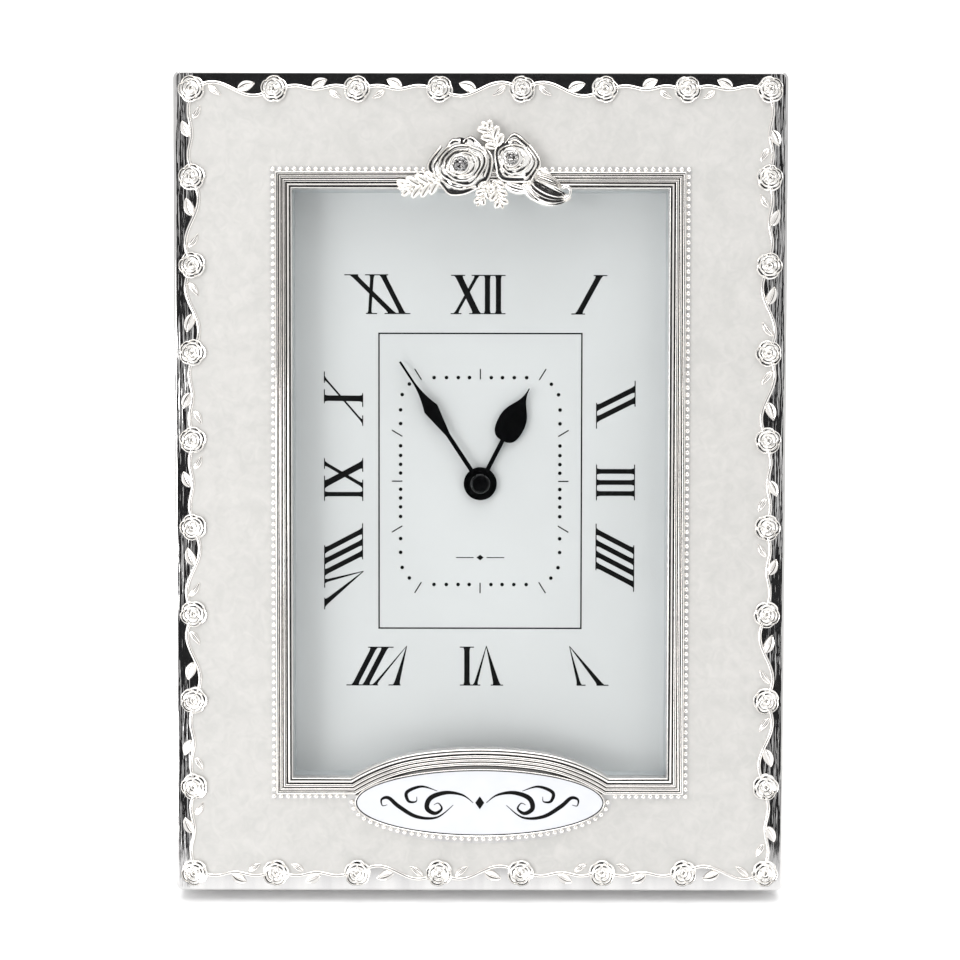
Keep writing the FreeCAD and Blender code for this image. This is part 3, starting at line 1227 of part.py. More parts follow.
def circuit_board():
    """Circuit board on two posts of the bridge."""
    low = layer(7)[1] - CIRCUIT_THICKNESS
    return slab(CIRCUIT_WIDTH, CIRCUIT_HEIGHT, low, layer(7)[1], *circuit_centre())


def clock_chip():
    """Sealed clock chip on the circuit board."""
    high = layer(7)[1] - CIRCUIT_THICKNESS
    return rod(CHIP_RADIUS, high - CHIP_HEIGHT, high, *circuit_centre())


def quartz_resonator():
    """Quartz resonator can lying on the circuit board."""
    x, y = circuit_centre()
    depth = layer(7)[1] - CIRCUIT_THICKNESS - RESONATOR_RADIUS
    return along_x(RESONATOR_RADIUS, RESONATOR_LENGTH, vec(x, y - RESONATOR_DROP, depth))


def battery_centre():
    """Centre of the battery's body, nearer the positive contact than the spring."""
    x, y = from_shaft(BATTERY_SHIFT, BATTERY_PLACE)
    return vec(x, y, BATTERY_DEPTH)


def battery():
    """Cell with its raised positive end."""
    centre = battery_centre()
    nub = along_x(BATTERY_NUB_RADIUS, 2 * BATTERY_NUB_LENGTH, centre + vec(BATTERY_LENGTH / 2, 0))
    return fused([along_x(BATTERY_RADIUS, BATTERY_LENGTH, centre), nub])


def contact_plate(side):
    """Contact plate against one end wall of the battery bay."""
    centre = battery_centre()
    across = CASE_SIZE / 2 - CASE_WALL - CONTACT_THICKNESS
    x = across if side > 0 else -across - CONTACT_THICKNESS
    corner = vec(x, centre.y - CONTACT_WIDTH / 2, centre.z - CONTACT_WIDTH / 2)
    return Part.makeBox(CONTACT_THICKNESS, CONTACT_WIDTH, CONTACT_WIDTH, corner)


def battery_spring():
    """Conical coil spring from the negative contact plate to the cell."""
    centre = battery_centre()
    start = -CASE_SIZE / 2 + CASE_WALL + CONTACT_THICKNESS + SPRING_WIRE_RADIUS + RUNNING_FIT
    end = centre.x - BATTERY_LENGTH / 2 - SPRING_WIRE_RADIUS - RUNNING_FIT
    rise = end - start
    slope = math.degrees(math.atan2(SPRING_BASE_RADIUS - SPRING_TIP_RADIUS, rise))
    path = Part.makeHelix(rise / SPRING_COILS, rise, SPRING_TIP_RADIUS, slope)
    ring = Part.Circle(vec(SPRING_TIP_RADIUS, 0), vec(0, 1, 0), SPRING_WIRE_RADIUS).toShape()
    wire = Part.Wire(path).makePipeShell([Part.Wire(ring)], True, True)
    wire.rotate(vec(0, 0, 0), vec(0, 1, 0), -90)
    wire.translate(vec(end, centre.y, centre.z))
    return wire


def mounting_nut():
    """Hexagon nut on the bush, hidden in the board's recess."""
    corner = NUT_ACROSS_FLATS / 2 / math.cos(math.radians(30))
    points = [at_angle(*SHAFT, corner, 60 * k) for k in range(6)]
    low = CARD_BACK - NUT_RECESS_GAP - NUT_THICKNESS
    return prism(polygon(points), low, low + NUT_THICKNESS).cut(
        rod(BUSH_RADIUS, low - OVERRUN, CARD_BACK + OVERRUN, *SHAFT))


def rubber_washer():
    """Rubber washer between the movement and the board."""
    return tube(WASHER_RADIUS, BUSH_RADIUS + RUNNING_FIT, CASE_FRONT, BOARD_BACK, *SHAFT)


def place_hand(shape, angle):
    """Turns a hand drawn upright from the origin to its angle and puts it on the arbor."""
    shape.rotate(vec(0, 0, 0), vec(0, 0, 1), angle)
    shape.translate(vec(*SHAFT, 0))
    return shape


def mirrored_outline(edges):
    """Closed wire from the right-hand edges of a hand and their mirror image."""
    mirrored = [edge.mirror(vec(0, 0, 0), vec(1, 0, 0)) for edge in edges]
    return Part.Wire(Part.__sortEdges__(edges + mirrored))


def minute_hand():
    """Minute hand: narrow shank, swelling to a pointed shoulder, then a hollow-sided needle."""
    needle_start = MINUTE_HAND_LENGTH - MINUTE_HAND_NEEDLE_LENGTH
    shoulder = vec(MINUTE_HAND_SHOULDER_HALF, MINUTE_HAND_SHOULDER)
    root = vec(MINUTE_HAND_NEEDLE_HALF, needle_start)
    narrowing = MINUTE_HAND_NEEDLE_HALF + (shoulder.x - root.x) * MINUTE_HAND_FLARE_SHARE
    hollow = vec(narrowing, (shoulder.y + root.y) / 2)
    tip = vec(MINUTE_HAND_NEEDLE_HALF, MINUTE_HAND_LENGTH)
    taper = vec(HAND_SHANK_HALF, MINUTE_HAND_TAPER_END)
    base = vec(HAND_SHANK_HALF, 0)
    edges = [
        Part.makeLine(vec(0, 0), base),
        Part.makeLine(base, taper),
        Part.makeLine(taper, shoulder),
        Part.Arc(shoulder, hollow, root).toShape(),
        Part.makeLine(root, tip),
        Part.makeLine(tip, vec(0, MINUTE_HAND_LENGTH)),
    ]
    blade = prism(mirrored_outline(edges), MINUTE_HAND_BACK, MINUTE_HAND_FRONT)
    hub = rod(MINUTE_HUB_RADIUS, MINUTE_HAND_BACK, MINUTE_HAND_FRONT)
    hole = rod(MINUTE_SHAFT_RADIUS, MINUTE_HAND_BACK - OVERRUN, MINUTE_HAND_FRONT + OVERRUN)
    return place_hand(fused([blade, hub]).cut(hole), MINUTE_HAND_ANGLE)


def hour_hand():
    """Hour hand: narrow shank and a drop-shaped bulb drawn out to a point."""
    start = vec(HAND_SHANK_HALF, HOUR_HAND_BULB_START)
    widest = vec(HOUR_HAND_BULB_HALF, HOUR_HAND_BULB)
    point = vec(HOUR_HAND_POINT_HALF, HOUR_HAND_LENGTH)
    pulls = (
        (start, vec(HOUR_HAND_BULB_HALF, HOUR_HAND_BULB_START), widest),
        (widest, vec(HOUR_HAND_BULB_HALF, (HOUR_HAND_BULB + HOUR_HAND_LENGTH) / 2),
         vec(HOUR_HAND_POINT_HALF, (HOUR_HAND_BULB + HOUR_HAND_LENGTH) / 2), point),
    )
    edges = [Part.makeLine(vec(0, 0), vec(HAND_SHANK_HALF, 0)), Part.makeLine(vec(HAND_SHANK_HALF, 0), start)]
    for poles in pulls:
        curve = Part.BezierCurve()
        curve.setPoles(list(poles))
        edges.append(curve.toShape())
    edges.append(Part.makeLine(point, vec(0, HOUR_HAND_LENGTH)))
    blade = prism(mirrored_outline(edges), HOUR_HAND_BACK, HOUR_HAND_FRONT)
    hub = rod(HOUR_HUB_RADIUS, HOUR_HAND_BACK, HOUR_HAND_FRONT)
    hole = rod(HOUR_TUBE_RADIUS, HOUR_HAND_BACK - OVERRUN, HOUR_HAND_FRONT + OVERRUN)
    return place_hand(fused([blade, hub]).cut(hole), HOUR_HAND_ANGLE)


def hand_cap():
    """Domed cap that closes the minute shaft."""
    cap = rod(CAP_RADIUS, MINUTE_HAND_FRONT, MINUTE_HAND_FRONT + CAP_HEIGHT, *SHAFT)
    return cap.makeFillet(CAP_HEIGHT - CAP_SKIRT, [cap.Edges[index] for index in top_edges(cap, True)])


def build():
    """Makes every node in face coordinates."""
    left_seat, right_seat = crystal_places()
    left = applied_rose(left_rose_place(), LEFT_ROSE_DIAMETER, LEFT_ROSE_TIER_SHARES, left_seat)
    right = applied_rose(right_rose_place(), RIGHT_ROSE_DIAMETER, RIGHT_ROSE_TIER_SHARES, right_seat)
    nodes = {
        "front_frame": front_frame(),
        "enamel_field": enamel_solid(0.0),
        "window_moulding": window_moulding(),
        "bead_rows": bead_rows(),
        "border_roses": border_roses(),
        "border_vine": border_vine(),
        "plaque_rim": plaque_rim(),
        "plaque_plate": plaque_plate(),
        "applied_rose_left": left,
        "applied_rose_right": right,
        "applied_leaves": applied_leaves(Part.makeCompound([left, right])),
        "crystals": crystals(),
        "glass_pane": pane(GLASS_BACK, GLASS_FRONT),
        "dial_spacer": dial_spacer(),
        "dial_card": dial_card(),
        "back_board": back_board(),
        "backing_frame": backing_frame(),
        "clip_screws": [clip_screw(*place) for place in clip_places()],
        "hinge_board_leaf": board_leaf(),
        "hinge_strut_leaf": strut_leaf(),
        "hinge_pin": hinge_pin(),
        "board_rivets": board_rivets(),
        "strut_rivets": strut_rivets(),
        "easel_strut": strut_leg(),
        "movement_case": movement_case(),
        "movement_cover": movement_cover(),
        "train_bridge": train_bridge(),
        "hour_wheel": hour_wheel(),
        "minute_arbor": minute_arbor(),
        "minute_work_wheel": minute_work_wheel(),
        "setting_knob": setting_knob(),
        "centre_wheel": centre_wheel(),
        "third_wheel": third_wheel(),
        "seconds_wheel": seconds_wheel(),
        "intermediate_wheel": intermediate_wheel(),
        "rotor": rotor(),
        "stator": stator(),
        "coil_bobbin": coil_bobbin(),
        "coil_winding": coil_winding(),
        "circuit_board": circuit_board(),
        "clock_chip": clock_chip(),
        "quartz_resonator": quartz_resonator(),
        "battery": battery(),
        "contact_positive": contact_plate(1),
        "contact_negative": contact_plate(-1),
        "contact_spring": battery_spring(),
        "mounting_nut": mounting_nut(),
        "rubber_washer": rubber_washer(),
        "minute_hand": minute_hand(),
        "hour_hand": hour_hand(),
        "hand_cap": hand_cap(),
    }
    names = ("turn_clip_left_low", "turn_clip_left_high", "turn_clip_right_low", "turn_clip_right_high")
    for name, place in zip(names, clip_places()):
        nodes[name] = turn_clip(*place)
    return nodes


def standing_nodes():
    """Every node leaned back and moved so that the origin is under the middle of the whole box."""
    nodes = {}
    for name, shape in build().items():
        whole = Part.makeCompound(shape) if isinstance(shape, list) else shape
        nodes[name] = stand(whole)
    boxes = [nodes[name].optimalBoundingBox(False, False) for name in OUTERMOST_NODES]
    middle = (min(box.YMin for box in boxes) + max(box.YMax for box in boxes)) / 2
    for shape in nodes.values():
        shape.translate(vec(0, -middle, 0))
    return nodes, middle


def main():
    """Writes one STEP file for each node and prints each one's solids and volume."""
    os.makedirs("parts", exist_ok=True)
    nodes, middle = standing_nodes()
    print("origin lies", round(middle, 4), "mm behind the frame's rear bottom edge")
    print("strut opening", round(strut_opening(), 4))
    for name, shape in nodes.items():
        shape.exportStep("parts/" + name + ".step")
        state = "valid" if shape.isValid() else "NOT VALID"
        print(name, len(shape.Solids), round(shape.Volume, 2), state)


main()
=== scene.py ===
"""Photo frame clock: the looks of its pieces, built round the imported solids.

Pieces are drawn as the clock lies face up: x to the viewer's right, y up the face from the frame's bottom
edge and z out of the frame's band, all in millimetres. face_to_world() leans them back with the frame.
"""

import logging
import math
from dataclasses import dataclass, field
from enum import Enum
from typing import Callable, Sequence

import bmesh
import bpy
from mathutils import Matrix, Vector


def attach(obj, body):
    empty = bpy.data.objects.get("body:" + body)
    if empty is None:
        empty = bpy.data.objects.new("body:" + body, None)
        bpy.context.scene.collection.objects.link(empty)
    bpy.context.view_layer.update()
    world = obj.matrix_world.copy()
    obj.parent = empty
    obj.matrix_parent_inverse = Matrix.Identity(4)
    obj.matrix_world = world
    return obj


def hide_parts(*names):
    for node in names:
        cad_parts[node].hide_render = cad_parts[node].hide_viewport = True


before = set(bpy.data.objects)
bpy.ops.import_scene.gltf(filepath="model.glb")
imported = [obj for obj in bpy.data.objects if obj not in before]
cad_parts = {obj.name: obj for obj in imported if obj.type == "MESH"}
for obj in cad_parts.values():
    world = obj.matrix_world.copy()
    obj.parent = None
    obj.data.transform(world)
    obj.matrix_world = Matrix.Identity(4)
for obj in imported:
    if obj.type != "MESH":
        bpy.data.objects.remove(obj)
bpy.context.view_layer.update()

LOG = logging.getLogger("photo_frame_clock")
MM = 0.001
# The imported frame: its lean, the depth of its casting and how far its foot lies in front of the origin
LEAN_ANGLE = 14.0
FRAME_DEPTH = 12.6
FOOT_SHIFT = 17.7387
ROOT_BODY = "frame"

Flat = tuple[float, float]
ORIGIN: Flat = (0.0, 0.0)
Point = tuple[float, float, float]
Socket = bpy.types.NodeSocket
Setting = float | tuple | Socket


def face_to_world() -> Matrix:
    """Matrix from the face's own axes to the leaning clock.

    Returns:
        Rotation and shift in metres.
    """
    lean = math.radians(LEAN_ANGLE)
    low, high = math.sin(lean), math.cos(lean)
    depth = FRAME_DEPTH * MM
    return Matrix((
        (1.0, 0.0, 0.0, 0.0),
        (0.0, low, -high, -FOOT_SHIFT * MM - high * depth),
        (0.0, high, low, low * depth),
        (0.0, 0.0, 0.0, 1.0),
    ))


def polar(centre: Flat, radius: float, angle: float) -> Flat:
    """Point at a radius and an angle in degrees from a centre."""
    turn = math.radians(angle)
    return (centre[0] + radius * math.cos(turn), centre[1] + radius * math.sin(turn))


def between(start: float, end: float, count: int) -> list[float]:
    """Evenly spaced values from start to end, both included."""
    return [start + (end - start) * index / (count - 1) for index in range(count)]


def arc(centre: Flat, radius: float, start: float, end: float, count: int) -> list[Flat]:
    """Points along a circle between two angles in degrees."""
    return [polar(centre, radius, angle) for angle in between(start, end, count)]


def circle(centre: Flat, radius: float, count: int) -> list[Flat]:
    """Evenly spaced points all round a circle."""
    return arc(centre, radius, 0.0, 360 - 360 / count, count)


def smooth_line(controls: Sequence[Flat], steps: int) -> list[Flat]:
    """Flowing line through given points.

    Args:
        controls: Points that the line passes through.
        steps: Points drawn from one control point to the next.

    Returns:
        Points along the line.
    """
    ends = [controls[0], *controls, controls[-1]]
    line = []
    for before, start, end, after in zip(ends, ends[1:], ends[2:], ends[3:]):
        for index in range(steps):
            t = index / steps
            line.append(tuple(
                0.5 * (2 * start[k] + (end[k] - before[k]) * t
                       + (2 * before[k] - 5 * start[k] + 4 * end[k] - after[k]) * t * t
                       + (3 * start[k] - before[k] - 3 * end[k] + after[k]) * t * t * t)
                for k in (0, 1)))
    line.append(controls[-1])
    return line


def normals(line: Sequence[Flat]) -> list[Flat]:
    """Unit vectors to the left of a line, one at each of its points.

    Args:
        line: Points of the line.

    Returns:
        One vector for each point.
    """
    result = []
    for index in range(len(line)):
        ax, ay = line[max(index - 1, 0)]
        bx, by = line[min(index + 1, len(line) - 1)]
        length = math.hypot(bx - ax, by - ay) or 1.0
        result.append((-(by - ay) / length, (bx - ax) / length))
    return result


@dataclass
class Shell:
    """Points in millimetres on the face and the polygons between them."""

    points: list[Point] = field(default_factory=list)
    faces: list[tuple[int, ...]] = field(default_factory=list)

    def add(self, points: Sequence[Point], faces: Sequence[tuple[int, ...]]) -> None:
        """Takes in more points and the faces that count from them.

        Args:
            points: Points in millimetres.
            faces: Faces, as numbers of these points.
        """
        start = len(self.points)
        self.points.extend(points)
        self.faces.extend(tuple(start + index for index in face) for face in faces)

    def skin(self, rows: Sequence[Sequence[Point]], ring: bool = False) -> None:
        """Covers closed sections that all have the same count of points.

        Args:
            rows: Sections of the form, one after the other.
            ring: Whether the last one joins the first; open ends are capped.
        """
        count, width = len(rows), len(rows[0])
        faces = []
        for i in range(count if ring else count - 1):
            here, there = i * width, (i + 1) % count * width
            for j in range(width):
                k = (j + 1) % width
                faces.append((here + j, here + k, there + k, there + j))
        if not ring:
            faces.append(tuple(range(width)))
            faces.append(tuple(range((count - 1) * width, count * width)))
        self.add([point for row in rows for point in row], faces)

    def prism(self, outline: Sequence[Flat], low: float, high: float) -> None:
        """Flat plate of an outline between two heights."""
        rows = [[(x, y, z) for x, y in outline] for z in (low, high)]
        self.skin(rows)

    def sweep(self, outline: Callable[[float], Sequence[Flat]], profile: Sequence[Flat],
              ring: bool = True) -> None:
        """Moulding of one section along an outline.

        Args:
            outline: Gives the outline moved out by a distance.
            profile: Distance out and height of each corner of the section.
            ring: Whether the outline is closed.
        """
        sections = [outline(reach) for reach, _ in profile]
        rows = [[(*point, height) for point, (_, height) in zip(points, profile)]
                for points in zip(*sections)]
        self.skin(rows, ring)

    def join(self, other: "Shell", place: Flat = ORIGIN, turn: float = 0.0) -> None:
        """Takes in a copy of another shell, turned in degrees and moved.

        Args:
            other: Shell that is copied.
            place: Where its origin comes to lie.
            turn: Angle that it is turned by.
        """
        along, across = math.cos(math.radians(turn)), math.sin(math.radians(turn))
        moved = [(place[0] + x * along - y * across, place[1] + x * across + y * along, z)
                 for x, y, z in other.points]
        self.add(moved, other.faces)


class Recipe:
    """Nodes of one material or of the world."""

    def __init__(self, owner: bpy.types.Material | bpy.types.World) -> None:
        """Clears the nodes of a material or of the world.

        Args:
            owner: Material or world that the nodes are for.
        """
        self.owner = owner
        owner.use_nodes = True
        self.tree = owner.node_tree
        self.tree.nodes.clear()

    def node(self, kind: str, sockets: dict[str | int, Setting] | None = None,
             output: str | int = 0, **settings: object) -> Socket | None:
        """Adds a node with its settings and links.

        Args:
            kind: Blender's name for the node type.
            sockets: Values or source sockets for the inputs, by name or number.
            output: Output that is wanted, by name or number.
            **settings: Properties of the node.

        Returns:
            The wanted output, or None from a node that has no outputs.
        """
        made = self.tree.nodes.new(kind)
        for name, value in settings.items():
            setattr(made, name, value)
        for key, value in (sockets or {}).items():
            if isinstance(value, Socket):
                self.tree.links.new(value, made.inputs[key])
            else:
                made.inputs[key].default_value = value
        return made.outputs[output] if made.outputs else None


MADE: dict[str, Recipe] = {}
# Settings of a node that follows a value smoothly, and of one that mixes two colours
SMOOTH = {"interpolation_type": "SMOOTHSTEP"}
COLOURS = {"output": 2, "data_type": "RGBA"}


def linear(hexadecimal: str) -> tuple[float, float, float, float]:
    """Linear colour of an sRGB hex value such as #c8c8c8.

    Args:
        hexadecimal: The sRGB colour.

    Returns:
        Red, green and blue, and an alpha of one.
    """
    parts = [int(hexadecimal[k:k + 2], 16) / 255 for k in (1, 3, 5)]
    curve = [p / 12.92 if p <= 0.04045 else ((p + 0.055) / 1.055) ** 2.4 for p in parts]
    return (curve[0], curve[1], curve[2], 1.0)


@dataclass(frozen=True)
class Finish:
    """What a surface is made of: two close tones, a sheen that varies, and a fine relief.

    Sizes are in millimetres. stretch makes the pattern longer along x, y or z.
    """

    name: str
    colour: str
    shade: str
    roughness: float
    metallic: float = 0.0
    ior: float = 1.5
    spread: float = 0.05
    mottle_size: float = 6.0
    grain_size: float = 0.4
    grain_depth: float = 0.01
    grain: float = 0.3
    stretch: Point = (1.0, 1.0, 1.0)
    coat: float = 0.0
    coat_roughness: float = 0.05
    sheen: float = 0.0

    def coordinates(self, recipe: Recipe) -> Socket:
        """Places on the piece along the face, stretched.

        Args:
            recipe: Nodes that these are added to.

        Returns:
            Places in metres, shrunk where the pattern is stretched.
        """
        source = recipe.node("ShaderNodeTexCoord", output="Object")
        turn = math.radians(LEAN_ANGLE - 90)
        turned = recipe.node("ShaderNodeMapping", {"Vector": source, "Rotation": (turn, 0.0, 0.0)})
        scale = tuple(1 / s for s in self.stretch)
        return recipe.node("ShaderNodeMapping", {"Vector": turned, "Scale": scale})

    def sideways(self, recipe: Recipe) -> Socket:
        """Place on the piece from left to right, in metres from the frame's middle."""
        source = recipe.node("ShaderNodeTexCoord", output="Object")
        return recipe.node("ShaderNodeSeparateXYZ", {0: source})

    def tones(self, recipe: Recipe, place: Socket) -> Socket:
        """Colour that drifts between the two tones.

        Args:
            recipe: Nodes that these are added to.
            place: Places that the pattern follows.

        Returns:
            The colour.
        """
        sockets = {"Vector": place, "Scale": 1 / (self.mottle_size * MM), "Detail": 3.0}
        cloud = recipe.node("ShaderNodeTexNoise", sockets)
        part = recipe.node("ShaderNodeMapRange", {"Value": cloud, 1: 0.35, 2: 0.65})
        sockets = {0: part, 6: linear(self.colour), 7: linear(self.shade)}
        return recipe.node("ShaderNodeMix", sockets, **COLOURS)

    def relief(self, recipe: Recipe, place: Socket) -> Socket:
        """Fine relief of the surface.

        Args:
            recipe: Nodes that these are added to.
            place: Places that the pattern follows.

        Returns:
            The bent normal.
        """
        height = recipe.node("ShaderNodeTexNoise", {"Vector": place, "Scale": 1 / (self.grain_size * MM)})
        sockets = {"Height": height, "Strength": self.grain, "Distance": self.grain_depth * MM}
        return recipe.node("ShaderNodeBump", sockets)

    def gloss(self, recipe: Recipe, place: Socket) -> Socket:
        """Roughness that drifts round its usual value, in smaller patches than the colour does.

        Args:
            recipe: Nodes that these are added to.
            place: Places that the pattern follows.

        Returns:
            The roughness.
        """
        sockets = {"Vector": place, "Scale": 1 / (self.mottle_size * 0.6 * MM), "Detail": 3.0}
        cloud = recipe.node("ShaderNodeTexNoise", sockets)
        low, high = max(self.roughness - self.spread, 0.02), self.roughness + self.spread
        return recipe.node("ShaderNodeMapRange", {"Value": cloud, 1: 0.3, 2: 0.7, 3: low, 4: high})

    def metal(self, recipe: Recipe) -> Setting:
        """How metallic the surface is."""
        return self.metallic

    def shader(self, recipe: Recipe) -> Socket:
        """Shader that this finish comes down to.

        Args:
            recipe: Nodes that these are added to.

        Returns:
            The shader.
        """
        place = self.coordinates(recipe)
        return recipe.node("ShaderNodeBsdfPrincipled", {
            "Base Color": self.tones(recipe, place), "Roughness": self.gloss(recipe, place),
            "Normal": self.relief(recipe, place), "Metallic": self.metal(recipe), "IOR": self.ior,
            "Coat Weight": self.coat, "Coat Roughness": self.coat_roughness, "Sheen Weight": self.sheen})

    def make(self) -> bpy.types.Material:
        """Material of this finish, made once and used again.

        Returns:
            The material.
        """
        if self.name not in MADE:
            recipe = MADE[self.name] = Recipe(bpy.data.materials.new(self.name))
            recipe.node("ShaderNodeOutputMaterial", {"Surface": self.shader(recipe)})
        return MADE[self.name].owner


@dataclass(frozen=True)
class PearlEnamel(Finish):
    """Cold enamel with pearl pigment, stirred by brush so that pale swirls show in it."""

    swirl_size: float = 13.0
    swirl_bend: float = 2.6
    flake_size: float = 3.2
    flake_bend: float = 1.8

    def tones(self, recipe: Recipe, place: Socket) -> Socket:
        """Pale swirls bent by a slower cloud, as the brush left them.

        Args:
            recipe: Nodes that these are added to.
            place: Places that the pattern follows.

        Returns:
            The colour.
        """
        clouds = {}
        for key, size, detail, bend in ((0, self.swirl_size, 4.0, self.swirl_bend),
                                        (1, self.flake_size, 2.0, self.flake_bend)):
            sockets = {"Vector": place, "Scale": 1 / (size * MM), "Detail": detail, "Distortion": bend}
            clouds[key] = recipe.node("ShaderNodeTexNoise", sockets)
        both = recipe.node("ShaderNodeMath", clouds, operation="ADD")
        part = recipe.node("ShaderNodeMapRange", {"Value": both, 1: 0.74, 2: 1.3})
        sockets = {0: part, 6: linear(self.shade), 7: linear(self.colour)}
        return recipe.node("ShaderNodeMix", sockets, **COLOURS)


@dataclass(frozen=True)
class BandPlate(Finish):
    """Plate on the flat band: polished outside the vine, satin on the land under the beads and moulding."""

    land_reach: float = 56.0
    land_foot: float = 4.5
    land_head: float = 181.0
    land_fade: float = 1.0
    land_roughness: float = 0.5
    side_reach: float = 69.0
    flat_share: float = 0.02
    wave_size: float = 0.55
    wave_depth: float = 0.13
    patch_size: float = 26.0

    def across(self, recipe: Recipe) -> Socket:
        """Distance from the middle of the frame to either side."""
        return recipe.node("ShaderNodeMath", {0: self.sideways(recipe)}, operation="ABSOLUTE")

    def gloss(self, recipe: Recipe, place: Socket) -> Socket:
        """Satin on the land, polished elsewhere on the sides.

        Args:
            recipe: Nodes that these are added to.
            place: Places that the pattern follows.

        Returns:
            The roughness.
        """
        start, end = self.land_reach * MM, (self.land_reach + 2 * self.land_fade) * MM
        sockets = {"Value": self.across(recipe), 1: start, 2: end, 3: self.land_roughness, 4: self.roughness}
        inner = recipe.node("ShaderNodeMapRange", sockets, **SMOOTH)
        heights = recipe.node("ShaderNodeSeparateXYZ", {0: place}, 1)
        unit = MM / self.stretch[1]
        limits = {}
        for key, start, step in ((0, self.land_foot, 0.0), (1, self.land_head, self.land_fade)):
            sockets = {"Value": heights, 1: (start + step) * unit, 2: (start + self.land_fade - step) * unit}
            limits[key] = recipe.node("ShaderNodeMapRange", sockets, **SMOOTH)
        within = recipe.node("ShaderNodeMath", limits, operation="MULTIPLY")
        return recipe.node("ShaderNodeMix", {0: within, 2: self.roughness, 3: inner})

    def relief(self, recipe: Recipe, place: Socket) -> Socket:
        """Long waves down the sides, deeper in some stretches than in others.

        Args:
            recipe: Nodes that these are added to.
            place: Places that the pattern follows.

        Returns:
            The bent normal.
        """
        even = recipe.node("ShaderNodeMapping", {"Vector": place, "Scale": self.stretch})
        sockets = {"Vector": even, "Scale": 1 / (self.patch_size * MM), "Detail": 1.0}
        cloud = recipe.node("ShaderNodeTexNoise", sockets)
        patch = recipe.node("ShaderNodeMapRange", {"Value": cloud, 1: 0.38, 2: 0.6, 3: 0.25}, **SMOOTH)
        start, end = self.side_reach * MM, (self.side_reach + self.land_fade) * MM
        sockets = {"Value": self.across(recipe), 1: start, 2: end, 3: self.flat_share}
        side = recipe.node("ShaderNodeMapRange", sockets, **SMOOTH)
        strength = recipe.node("ShaderNodeMath", {0: patch, 1: side}, operation="MULTIPLY")
        height = recipe.node("ShaderNodeTexNoise", {"Vector": place, "Scale": 1 / (self.wave_size * MM)})
        sockets = {"Height": height, "Strength": strength, "Distance": self.wave_depth * MM}
        return recipe.node("ShaderNodeBump", sockets)


@dataclass(frozen=True)
class CellSleeve(Finish):
    """Printed film shrunk over a steel can, whose bare ends show."""

    can_colour: str = "#c3c1bb"
    left_end: float = -23.3
    right_end: float = 24.6
    film_edge: float = 0.05

    def bare(self, recipe: Recipe) -> Socket:
        """One on the bare ends and zero on the film.

        Args:
            recipe: Nodes that these are added to.

        Returns:
            Share of bare steel.
        """
        place = self.sideways(recipe)
        ends = {}
        for key, end, step in ((0, self.left_end, -self.film_edge), (1, self.right_end, self.film_edge)):
            sockets = {"Value": place, 1: end * MM, 2: (end + step) * MM}
            ends[key] = recipe.node("ShaderNodeMapRange", sockets, **SMOOTH)
        return recipe.node("ShaderNodeMath", ends, operation="ADD")

    def tones(self, recipe: Recipe, place: Socket) -> Socket:
        """Film colour, and steel at the ends."""
        sockets = {0: self.bare(recipe), 6: super().tones(recipe, place), 7: linear(self.can_colour)}
        return recipe.node("ShaderNodeMix", sockets, **COLOURS)

    def metal(self, recipe: Recipe) -> Setting:
        """Metal at the ends only."""
        return self.bare(recipe)


@dataclass(frozen=True)
class CutCrystal(Finish):
    """Lead crystal, which bends and mirrors the light in its facets."""

    def shader(self, recipe: Recipe) -> Socket:
        """Clear stone with a strong bend of light."""
        sockets = {"Color": linear(self.colour), "IOR": self.ior, "Roughness": self.roughness}
        return recipe.node("ShaderNodeBsdfGlass", sockets)


@dataclass(frozen=True)
class ClearGlass(Finish):
    """Float glass: nearly all light goes through, and a little is mirrored."""

    reflectance: float = 0.35

    def shader(self, recipe: Recipe) -> Socket:
        """Clear sheet whose mirror image grows at a slant.

        Args:
            recipe: Nodes that these are added to.

        Returns:
            The shader.
        """
        edge = recipe.node("ShaderNodeFresnel", {"IOR": self.ior})
        part = recipe.node("ShaderNodeMath", {0: edge, 1: self.reflectance}, operation="MULTIPLY")
        clear = recipe.node("ShaderNodeBsdfTransparent", {"Color": linear(self.colour)})
        sockets = {"Roughness": self.roughness, "Color": linear(self.shade)}
        gloss = recipe.node("ShaderNodeBsdfGlossy", sockets)
        return recipe.node("ShaderNodeMixShader", {0: part, 1: clear, 2: gloss})


# Silver plate over cast zinc: satin in the hollows and brushed bright on the high parts
PLATE = Finish("silver_plate_cast", "#fbf9f6", "#f3f1ee", 0.1, 1.0, spread=0.04, mottle_size=3.0,
               grain_size=0.5, grain_depth=0.008, grain=0.15)
# The same plate, buffed along the reeds and stems, where it mirrors in soft streaks
REED_PLATE = Finish("silver_plate_reeds", "#f6f3ef", "#ece9e6", 0.13, 1.0, spread=0.02, mottle_size=4.0,
                    grain_size=2.5, grain_depth=0.01, grain=0.2)
# The same plate on the flat band, drawn down the sides by the polishing wheel
BAND_PLATE = BandPlate("silver_plate_band", "#d6d5d4", "#c6c5c5", 0.05, 1.0, mottle_size=5.0,
                       stretch=(1.0, 16.0, 1.0))
# The same plate on the beads, which the wheel hardly reaches: satin
BEAD_PLATE = Finish("silver_plate_beads", "#fbf9f6", "#f3f1ee", 0.24, 1.0, mottle_size=2.0)
# Pearl pigment in clear resin: satin under a glassy top
PEARL = PearlEnamel("pearl_resin", "#c9c7c4", "#bebdba", 0.4, ior=1.5, grain_size=7.0, grain_depth=0.05,
                    grain=0.2, coat=0.25, coat_roughness=0.14)
# White enamel plate: hard, even and glossy
WHITE_ENAMEL = Finish("white_enamel", "#dcdde1", "#d8dade", 0.22, grain_size=4.0, coat=0.2)
